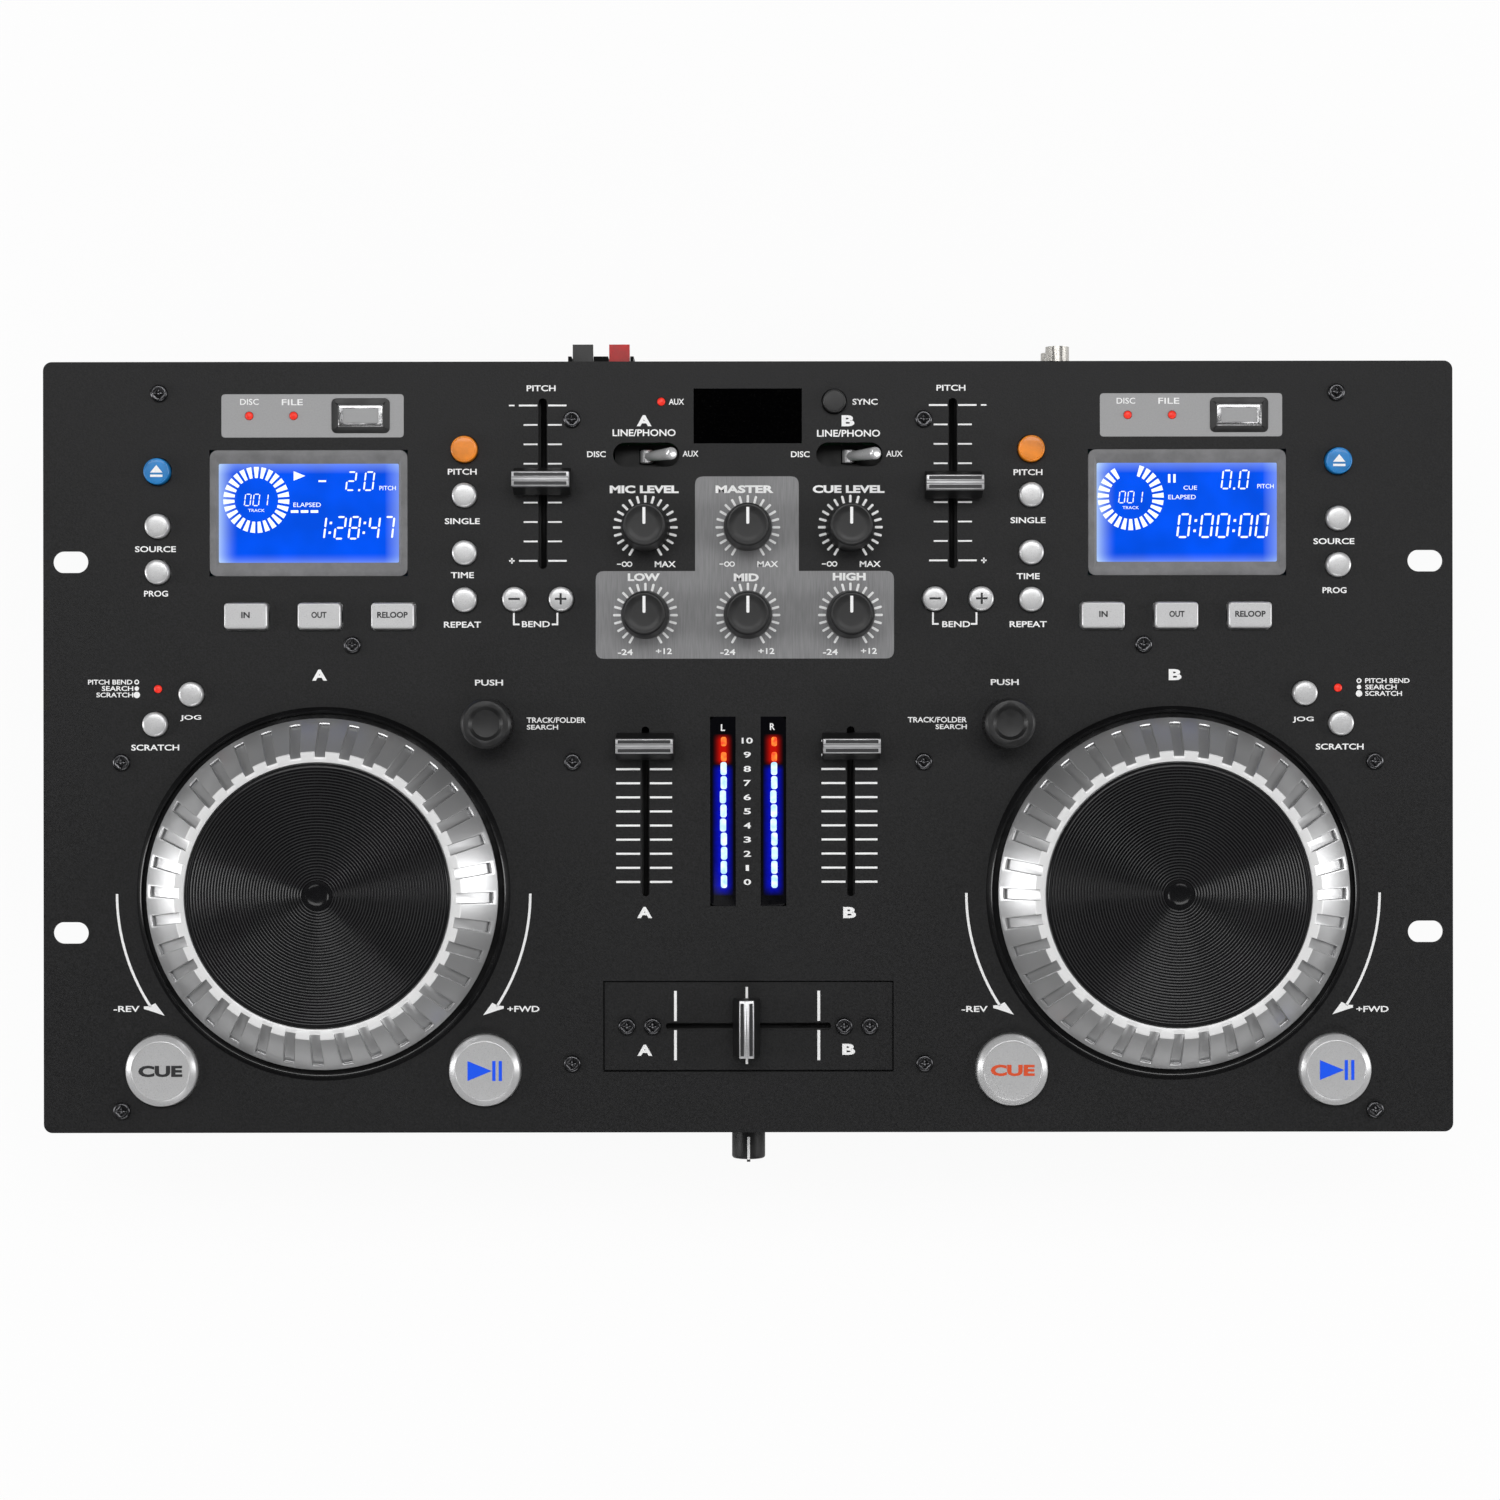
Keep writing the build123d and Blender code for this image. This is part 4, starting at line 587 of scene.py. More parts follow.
class Recipe:
    """The nodes of one material."""

    def __init__(self, name):
        self.material = bpy.data.materials.new(name)
        self.material.use_nodes = True
        self.tree = self.material.node_tree
        self.surface = self.tree.nodes["Principled BSDF"]
        self.place = self.node("ShaderNodeTexCoord", output="Object")

    def feed(self, socket, value):
        if isinstance(value, Signal):
            self.tree.links.new(value.socket, socket)
        elif isinstance(value, (tuple, list, Vector)) or hasattr(value, "__len__"):
            value = tuple(value)
            wanted = len(socket.default_value)
            socket.default_value = value + (1.0,) * (wanted - len(value))
        else:
            socket.default_value = value

    def node(self, kind, settings=None, values=None, output=0):
        """Any node: its settings first, then the values or links of its sockets."""
        node = self.tree.nodes.new(kind)
        for name, value in (settings or {}).items():
            if name == "stops":
                self.set_stops(node.color_ramp, value)
            else:
                setattr(node, name, value)
        for name, value in (values or {}).items():
            self.feed(node.inputs[name], value)
        return Signal(self, node.outputs[output])

    @staticmethod
    def set_stops(ramp, stops):
        while len(ramp.elements) < len(stops):
            ramp.elements.new(0.5)
        for element, (position, colour) in zip(ramp.elements, stops):
            element.position = position
            element.color = tuple(colour) + (1.0,) * (4 - len(colour))

    def sum_of(self, operation, first, second):
        return self.node("ShaderNodeMath", {"operation": operation}, {0: first, 1: second})

    def noise(self, grain_mm, detail=2.0, roughness=0.5, place=None):
        """Noise whose features are about as large as the grain."""
        return self.node("ShaderNodeTexNoise", {"noise_dimensions": "3D"}, {
            "Vector": place or self.place, "Scale": 1.0 / (grain_mm * MM), "Detail": detail,
            "Roughness": roughness})

    def axis(self, name, place=None):
        """One coordinate, in millimetres."""
        split = self.node("ShaderNodeSeparateXYZ", {}, {"Vector": place or self.place}, output=name)
        return split * (1 / MM)

    def moved(self, x, y):
        """Object coordinates measured from a place on the console, in metres."""
        return self.node("ShaderNodeVectorMath", {"operation": "SUBTRACT"},
                         {0: self.place, 1: metres(x, y, 0)})

    def span(self, value, low, high, out_low=0.0, out_high=1.0):
        """A value stretched from one range to another and held inside it."""
        return self.node("ShaderNodeMapRange", {"clamp": True}, {
            "Value": value, "From Min": low, "From Max": high, "To Min": out_low, "To Max": out_high})

    def spread(self, noise, low=0.0, high=1.0):
        """Noise stretched from its common values to a range."""
        return self.span(noise, 0.3, 0.7, low, high)

    def blend(self, factor, first, second, how="MIX"):
        """A colour between two, or their sum."""
        return self.node("ShaderNodeMix", {"data_type": "RGBA", "blend_type": how},
                         {0: factor, 6: first, 7: second}, output=2)

    def bump(self, height, depth_mm, strength):
        return self.node("ShaderNodeBump", {}, {
            "Height": height, "Distance": depth_mm * MM, "Strength": strength})

    def set(self, **values):
        """Sockets of the Principled shader, written with underscores."""
        for name, value in values.items():
            self.feed(self.surface.inputs[name.replace("_", " ")], value)
        return self.material


def shade(colour, factor):
    """A colour made lighter or darker."""
    return tuple(min(1.0, channel * factor) for channel in colour)


def powder_coat(name, colour, roughness=0.48, speck=0.6):
    """Fine speckled powder coat on sheet steel."""
    r = Recipe(name)
    grain = r.noise(speck, detail=3.0, roughness=0.75)
    cloud = r.noise(60.0, detail=2.0)
    sparkle = r.span(grain, 0.35, 0.75)
    base = r.blend(sparkle, shade(colour, 0.55), shade(colour, 2.0))
    base = r.blend(r.span(cloud, 0.35, 0.65, 0.0, 0.35), base, shade(colour, 1.3))
    return r.set(Base_Color=base, Roughness=r.spread(grain, roughness - 0.08, roughness + 0.1),
                 Specular_IOR_Level=0.27, Normal=r.bump(grain, 0.07, 0.8))


def moulded(name, colour, roughness=0.42, grain_mm=0.5, depth=0.012, coat=0.0):
    """Moulded plastic with a faint spark-eroded grain and rubbed spots."""
    r = Recipe(name)
    grain = r.noise(grain_mm, detail=3.0)
    wear = r.noise(7.0, detail=4.0, roughness=0.6)
    base = r.blend(r.span(wear, 0.35, 0.7), shade(colour, 0.82), shade(colour, 1.2))
    return r.set(Base_Color=base, Roughness=r.spread(wear, roughness - 0.07, roughness + 0.08),
                 Coat_Weight=coat, Normal=r.bump(grain, depth, 0.5))


def satin_paint(name, colour, metallic=0.35, roughness=0.36, grain_mm=0.22):
    """Silver paint with a fine metallic flake under a thin lacquer."""
    r = Recipe(name)
    flake = r.noise(grain_mm, detail=2.0, roughness=0.6)
    drift = r.noise(9.0, detail=2.0)
    base = r.blend(r.spread(flake), shade(colour, 0.90), shade(colour, 1.09))
    base = r.blend(r.span(drift, 0.35, 0.65, 0.0, 0.3), base, shade(colour, 0.94))
    return r.set(Base_Color=base, Metallic=metallic,
                 Roughness=r.spread(flake, roughness - 0.05, roughness + 0.06),
                 Normal=r.bump(flake, 0.006, 0.4))


def jog_silver():
    """Silver paint of the jog rings, with a painted highlight on the flat crown around the platter."""
    r = Recipe("jog ring silver")
    flake = r.noise(0.22, detail=2.0, roughness=0.6)
    # painted highlight: the flat crown, picked by its height, is made near white and less metallic so that it
    # reads as lit from above, while the cone keeps the darker silver
    crown = r.axis("Z") > 102.05
    silver = tuple(colours().silver)
    paint = r.blend(crown, shade(silver, 0.84), (0.88, 0.88, 0.88))
    base = r.blend(r.spread(flake, 0.0, 0.12), paint, (0.35, 0.35, 0.36))
    # the crown's lower metallic value belongs to the same painted highlight
    return r.set(Base_Color=base, Metallic=0.80 - crown * 0.68, Roughness=r.spread(flake, 0.28, 0.38),
                 Normal=r.bump(flake, 0.006, 0.4))


def drawn_metal(name, colour, roughness=0.25, metallic=1.0, along="Z"):
    """Plated or turned metal with fine machining lines."""
    r = Recipe(name)
    stretch = {"X": (0.05, 1, 1), "Y": (1, 0.05, 1), "Z": (1, 1, 0.05)}[along]
    place = r.node("ShaderNodeMapping", {"vector_type": "POINT"}, {"Vector": r.place, "Scale": stretch})
    lines = r.noise(0.35, detail=3.0, place=place)
    spots = r.noise(4.0, detail=3.0)
    base = r.blend(r.spread(lines), shade(colour, 0.86), shade(colour, 1.06))
    return r.set(Base_Color=base, Metallic=metallic,
                 Roughness=r.spread(spots, roughness - 0.06, roughness + 0.08),
                 Normal=r.bump(lines, 0.006, 0.5))


def printed(name, colour, roughness=0.5):
    """Silk-screened ink with an uneven film."""
    r = Recipe(name)
    film = r.noise(0.5, detail=3.0)
    base = r.blend(r.span(film, 0.3, 0.75), shade(colour, 0.93), shade(colour, 1.05))
    return r.set(Base_Color=base, Roughness=r.spread(film, roughness - 0.06, roughness + 0.1),
                 Normal=r.bump(film, 0.01, 0.35))


def glowing(name, colour, strength, core=None, spread=0.6):
    """A lit area that is a little uneven."""
    r = Recipe(name)
    cells = r.noise(spread, detail=1.0)
    lit = r.blend(r.spread(cells), shade(colour, 0.9), core or shade(colour, 1.0))
    return r.set(Base_Color=shade(colour, 0.35), Roughness=0.4, Emission_Color=lit,
                 Emission_Strength=strength, Normal=r.bump(cells, 0.01, 0.2))


def grooved_black():
    """Glossy black vinyl of the jog platters, with lighter lines painted on the lands between the cut rings
    as a painted sheen.
    """
    r = Recipe("platter black")
    dust = r.noise(0.3, detail=3.0)
    drift = r.noise(14.0, detail=2.0)
    across = abs(r.axis("X")) - JOG["b"].x
    along = r.axis("Y") - JOG["b"].y
    radius = r.sum_of("SQRT", across * across + along * along, 0.0)
    # painted sheen: the tops of the lands between the cut rings are made lighter than the black vinyl, as if
    # they catch the light
    painted_land_sheen = r.span(abs(r.sum_of("FRACT", radius, 0.0) - LAND_MIDDLE), 0.14, 0.24, 1.0, 0.0)
    base = r.blend(r.span(dust, 0.35, 0.75), (0.004, 0.004, 0.0045), (0.010, 0.010, 0.011))
    cut = (radius < GROOVES_OUTER + 0.2) * (radius > GROOVES_INNER)
    # the lighter colour laid here is the painted sheen on the lands
    base = r.blend(painted_land_sheen * cut, base, (0.026, 0.026, 0.027))
    return r.set(Base_Color=base, Roughness=r.spread(drift, 0.17, 0.25), Specular_IOR_Level=0.26,
                 Normal=r.bump(dust, 0.004, 0.3))


def display_glass(deck):
    """Blue backlight that is paler towards the ends of the display, strongest on the left."""
    r = Recipe(f"display {deck}")
    place = r.moved(*LCD[deck])
    across = r.axis("X", place)
    up = r.axis("Y", place)
    left = r.span(across, -31.0, -24.0, 1.0, 0.0)
    right = r.span(across, 26.0, 31.0, 0.0, 0.35)
    lower = r.span(up, -17.0, -13.5, 0.55, 0.0)
    upper = r.span(up, 13.5, 17.0, 0.0, 0.3)
    cells = r.noise(0.35, detail=1.0)
    wave = r.noise(12.0, detail=1.0)
    glow = left * left * 0.8 + right + lower * lower + upper
    blue = tuple(colours().display_blue)
    base = r.blend(r.spread(wave), shade(blue, 0.85), shade(blue, 1.1))
    lit = r.blend(r.sum_of("MINIMUM", glow, 0.92), base, (0.55, 0.75, 1.0))
    return r.set(Base_Color=(0.0, 0.02, 0.12), Roughness=r.spread(cells, 0.16, 0.24),
                 Emission_Color=lit, Emission_Strength=0.92, Specular_IOR_Level=0.05)


def meter_glass():
    """Black glass of a level meter, lit blue beside the lower bars and red beside the upper ones."""
    r = Recipe("meter glass")
    across = abs(abs(r.axis("X")) - METER_X)
    up = r.axis("Y")
    beside = r.span(across, 0.9, 3.6, 1.0, 0.0)
    blue_part = r.span(up, -8.0, -6.0, 1.0, 0.0) * r.span(up, -51.0, -47.5, 0.0, 1.0)
    red_part = r.span(up, -6.3, -4.6, 0.0, 1.0) * r.span(up, 2.2, 4.4, 1.0, 0.0)
    haze = r.noise(1.6, detail=2.0)
    blue = r.blend(beside * blue_part * r.spread(haze, 0.75, 1.0), (0.0, 0.0, 0.0), (0.0, 0.004, 0.62))
    red = r.blend(beside * beside * red_part, (0.0, 0.0, 0.0), (0.55, 0.004, 0.0))
    lit = r.blend(1.0, blue, red, "ADD")
    return r.set(Base_Color=(0.003, 0.003, 0.004), Roughness=r.spread(haze, 0.10, 0.16),
                 Emission_Color=lit, Emission_Strength=1.0, Specular_IOR_Level=0.03)


def window_black():
    """Smoked acrylic with fine dust and an uneven gloss."""
    r = Recipe("smoked acrylic")
    dust = r.noise(0.35, detail=3.0)
    smear = r.noise(9.0, detail=3.0)
    base = r.blend(r.span(dust, 0.62, 0.75), (0.0006, 0.0006, 0.0007), (0.012, 0.012, 0.012))
    return r.set(Base_Color=base, Roughness=r.spread(smear, 0.08, 0.16), Specular_IOR_Level=0.0,
                 Normal=r.bump(dust, 0.001, 0.3))


def brushed_print():
    """Grey area of the tone controls, brushed upright."""
    r = Recipe("grey panel print")
    place = r.node("ShaderNodeMapping", {"vector_type": "POINT"}, {"Vector": r.place, "Scale": (1, 0.06, 1)})
    lines = r.noise(0.5, detail=3.0, place=place)
    base = r.blend(r.spread(lines), (0.195, 0.195, 0.20), (0.265, 0.265, 0.27))
    return r.set(Base_Color=base, Metallic=0.15, Roughness=r.spread(lines, 0.40, 0.55),
                 Normal=r.bump(lines, 0.01, 0.4))


def rubber():
    """Matt rubber of the feet with dust in its grain."""
    r = Recipe("rubber")
    grain = r.noise(0.6, detail=4.0, roughness=0.7)
    dust = r.noise(6.0, detail=3.0)
    base = r.blend(r.span(dust, 0.45, 0.8), (0.010, 0.010, 0.010), (0.045, 0.043, 0.040))
    return r.set(Base_Color=base, Roughness=r.spread(grain, 0.75, 0.92), Normal=r.bump(grain, 0.05, 0.6))


def circuit_board():
    """Solder mask with tracks and pads under it, and dark parts on it."""
    r = Recipe("circuit board")
    tracks = r.node("ShaderNodeTexBrick", {"offset": 0.5}, {
        "Vector": r.place, "Scale": 160.0, "Mortar Size": 0.06, "Brick Width": 0.9, "Row Height": 0.45})
    cells = r.noise(2.5, detail=3.0)
    pads = r.node("ShaderNodeTexVoronoi", {"feature": "F1"}, {"Vector": r.place, "Scale": 420.0})
    base = r.blend(tracks, (0.010, 0.085, 0.030), (0.020, 0.150, 0.055))
    base = r.blend(r.span(pads, 0.10, 0.14, 0.55, 0.0), base, (0.55, 0.52, 0.45))
    return r.set(Base_Color=base, Roughness=r.spread(cells, 0.30, 0.45),
                 Normal=r.bump(tracks, 0.02, 0.4))


def phono_metal():
    """Nickel barrels that stand on a black plastic plate."""
    r = Recipe("phono nickel and plastic")
    lines = r.noise(0.4, detail=3.0)
    metal = r.axis("Y") > 131.75
    base = r.blend(metal, (0.010, 0.010, 0.0105), (0.66, 0.64, 0.60))
    base = r.blend(r.spread(lines, 0.0, 0.25), base, (0.20, 0.19, 0.18))
    return r.set(Base_Color=base, Metallic=metal, Roughness=r.spread(lines, 0.22, 0.36),
                 Normal=r.bump(lines, 0.006, 0.4))


FINISHES = {
    "panel": lambda: powder_coat("panel powder coat", colours().panel),
    "case": lambda: powder_coat("case powder coat", shade(colours().panel, 1.1), roughness=0.55, speck=0.5),
    "legend": lambda: printed("legend ink", colours().ink),
    "dim legend": lambda: printed("dim legend ink", (0.45, 0.45, 0.46)),
    "dark legend": lambda: printed("dark legend ink", (0.022, 0.022, 0.024)),
    "orange legend": lambda: printed("orange legend ink", (0.72, 0.075, 0.01)),
    "play legend": lambda: glowing("play legend ink", colours().play_blue, 0.55),
    "plate print": lambda: printed("port plate print", (0.36, 0.36, 0.365), 0.55),
    "grey print": brushed_print,
    "jog silver": jog_silver,
    "button silver": lambda: satin_paint("button silver",
        (0.68, 0.68, 0.685), metallic=0.42, roughness=0.32),
    "key silver": lambda: satin_paint("key silver", (0.66, 0.66, 0.665), metallic=0.45, roughness=0.32),
    "cap silver": lambda: drawn_metal("fader cap silver",
        (0.62, 0.62, 0.63), roughness=0.34, metallic=0.6, along="X"),
    "cap band": lambda: drawn_metal("fader cap band",
        (0.045, 0.045, 0.047), roughness=0.42, metallic=0.4, along="X"),
    "orange": lambda: moulded("orange plastic", colours().orange, roughness=0.38, coat=0.3),
    "blue": lambda: moulded("blue plastic", colours().blue, roughness=0.38, coat=0.3),
    "platter": grooved_black,
    "gloss black": lambda: moulded("gloss black plastic",
        (0.006, 0.006, 0.0065), roughness=0.20, depth=0.004),
    "knob black": lambda: moulded("knob black plastic",
        (0.014, 0.014, 0.0145), roughness=0.42, grain_mm=0.35),
    "trim black": lambda: moulded("trim black plastic", (0.010, 0.010, 0.0105), roughness=0.40),
    "bezel grey": lambda: moulded("display bezel grey", (0.17, 0.17, 0.175), roughness=0.48, grain_mm=0.4),
    "window black": window_black,
    "screw black": lambda: drawn_metal("blackened screw steel", (0.10, 0.10, 0.105), roughness=0.28),
    "chrome": lambda: drawn_metal("chrome plate", (0.80, 0.80, 0.81), roughness=0.14),
    "lever silver": lambda: satin_paint("toggle lever silver",
        (0.78, 0.78, 0.79), metallic=0.5, roughness=0.22),
    "component black": lambda: moulded("component black plastic", (0.006, 0.006, 0.006), roughness=0.6),
    "nickel": lambda: drawn_metal("nickel plate", (0.62, 0.60, 0.56), roughness=0.24),
    "drive steel": lambda: drawn_metal("zinc plated steel", (0.50, 0.51, 0.53), roughness=0.38, along="X"),
    "port tongue": lambda: moulded("port tongue plastic", (0.62, 0.62, 0.62), roughness=0.5),
    "red plastic": lambda: moulded("red plastic", (0.62, 0.010, 0.010), roughness=0.45),
    "phono": phono_metal,
    "rubber": rubber,
    "board": circuit_board,
    "lamp": lambda: glowing("lit red lens", colours().lamp_red, 0.75, core=(0.95, 0.045, 0.02), spread=1.2),
    "lamp rim": lambda: moulded("lamp rim plastic", (0.05, 0.003, 0.003), roughness=0.3),
    "bar blue": lambda: glowing("lit blue bar", (0.42, 0.72, 1.0), 1.0, core=(0.88, 0.93, 1.0), spread=2.2),
    "bar red": lambda: glowing("lit red bar", (0.95, 0.05, 0.0), 1.0, core=(1.0, 0.32, 0.02), spread=1.6),
    "display a": lambda: display_glass("a"),
    "display b": lambda: display_glass("b"),
    "segments": lambda: glowing("display segments", (0.80, 0.90, 1.0), 1.0, core=(0.95, 0.98, 1.0)),
    "meter glass": meter_glass,
}
MIXED = {}


def finish(name):
    """The material of this name, mixed once."""
    if name not in MIXED:
        MIXED[name] = FINISHES[name]()
    return MIXED[name]


def coat_node(node, name):
    """Gives a CAD node that stays its finish."""
    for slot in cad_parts[node].material_slots:
        slot.material = finish(name)


# ---- Panel, case and fasteners ----------------------------------------------------------------
class PanelAndCase(bpy.types.Operator):
    """Coats the top panel and the case, and finishes the feet and the screws."""

    bl_idname = "disc_console.panel_and_case"
    bl_label = "Panel and case"

    def execute(self, context):
        coat_node("top_panel", "panel")
        dressed("case_tub", "case", ROOT, smooth=18)
        dressed("rubber_feet", "rubber", ROOT)
        dressed("fasteners", "screw black", ROOT, smooth=30)
        self.button_bushes()
        return {"FINISHED"}

    @staticmethod
    def button_bushes():
        """Thin bushes that line the holes of the small buttons."""
        places = {}
        for name in round_buttons():
            places.setdefault(round_button_size(name), []).append(over(name))
        for size in sorted(places):
            hole = size / 2 + 0.40
            model = turned([
                (hole, PANEL_BOTTOM), (hole, PANEL_TOP + 0.02), (hole - 0.04, PANEL_TOP + 0.06),
                (hole - 0.14, PANEL_TOP + 0.02), (hole - 0.2, PANEL_TOP - 0.3), (hole - 0.2, PANEL_BOTTOM),
            ], 0, 0, 40, closed=True)
            bushes = repeated(model, places[size])
            piece(bushes, f"button_bushes_{round(size * 100)}", "gloss black")


# ---- Printed legends --------------------------------------------------------------------------
SMALL = 2.05
BOLD = 2.7
TALL = 3.8
LEGENDS = (  # text, x, y, width and height
    ("PITCH", -70.72, 122.85, 9.9, SMALL), ("PITCH", 69.60, 122.85, 9.9, SMALL),
    ("PITCH", -97.76, 94.30, 9.9, SMALL), ("SINGLE", -97.76, 77.36, 12.0, SMALL),
    ("TIME", -97.76, 58.88, 7.9, SMALL), ("REPEAT", -97.76, 41.94, 12.7, SMALL),
    ("PITCH", 95.95, 93.90, 9.9, SMALL), ("SINGLE", 95.95, 77.47, 12.0, SMALL),
    ("TIME", 95.95, 58.31, 7.9, SMALL), ("REPEAT", 95.95, 41.88, 12.7, SMALL),
    ("SOURCE", -202.83, 67.90, 14.0, SMALL), ("SOURCE", 200.67, 70.16, 14.0, SMALL),
    ("PROG", -202.66, 52.67, 8.2, SMALL), ("PROG", 200.85, 53.39, 8.2, SMALL),
    ("A", -146.70, 24.71, 5.1, TALL), ("B", 146.26, 24.53, 4.4, TALL),
    ("PUSH", -88.69, 22.08, 9.6, SMALL), ("PUSH", 87.91, 22.04, 9.6, SMALL),
    ("TRACK/FOLDER", -65.7, 9.2, 20.2, 1.9), ("TRACK/FOLDER", 64.8, 9.2, 20.2, 1.9),
    ("SEARCH", -70.4, 6.8, 10.7, 1.65), ("SEARCH", 69.55, 6.8, 10.7, 1.65),
    ("JOG", -190.85, 10.05, 7.2, SMALL), ("JOG", 190.06, 9.08, 7.2, SMALL),
    ("SCRATCH", -203.0, -0.03, 16.4, SMALL), ("SCRATCH", 202.56, -0.17, 16.4, SMALL),
    ("PITCH BEND", -218.4, 22.4, 15.2, 1.65), ("SEARCH", -215.9, 20.2, 10.8, 1.65),
    ("SCRATCH", -216.8, 18.0, 12.6, 1.65),
    ("PITCH BEND", 218.9, 22.4, 15.2, 1.65), ("SEARCH", 216.7, 20.2, 10.8, 1.65),
    ("SCRATCH", 217.6, 18.0, 12.6, 1.65),
    ("BEND", -72.61, 42.08, 9.6, SMALL), ("BEND", 71.31, 41.91, 9.6, SMALL),
    ("A", -35.47, 111.7, 5.1, TALL), ("B", 34.34, 111.6, 4.4, TALL),
    ("LINE/PHONO", -35.47, 107.58, 21.6, 2.4), ("LINE/PHONO", 34.52, 107.32, 21.6, 2.4),
    ("DISC", -51.8, 100.24, 6.4, SMALL), ("AUX", -19.6, 100.37, 5.4, SMALL),
    ("DISC", 18.0, 100.15, 6.4, SMALL), ("AUX", 50.2, 100.29, 5.6, SMALL),
    ("AUX", -24.4, 118.17, 5.2, SMALL), ("SYNC", 40.16, 118.09, 8.6, SMALL),
    ("MIC LEVEL", -35.47, 88.2, 23.6, BOLD), ("MASTER", -1.08, 88.2, 19.9, BOLD),
    ("CUE LEVEL", 34.52, 88.2, 24.6, BOLD),
    ("LOW", -35.64, 58.12, 11.0, BOLD), ("MID", -0.56, 58.0, 8.6, BOLD),
    ("HIGH", 34.69, 58.21, 11.3, BOLD),
    ("A", -35.47, -56.70, 5.1, TALL), ("B", 34.69, -56.79, 4.4, TALL),
    ("-REV", -212.93, -89.51, 8.9, SMALL), ("-REV", 77.47, -89.86, 8.9, SMALL),
    ("+FWD", -77.06, -89.68, 11.0, SMALL), ("+FWD", 213.68, -90.03, 11.0, SMALL),
)
THIN_LEGENDS = (
    ("DISC", -170.6, 118.3, 6.4, SMALL), ("FILE", -155.94, 118.16, 7.2, SMALL),
    ("DISC", 129.5, 118.33, 6.4, SMALL), ("FILE", 144.20, 118.31, 7.2, SMALL),
)


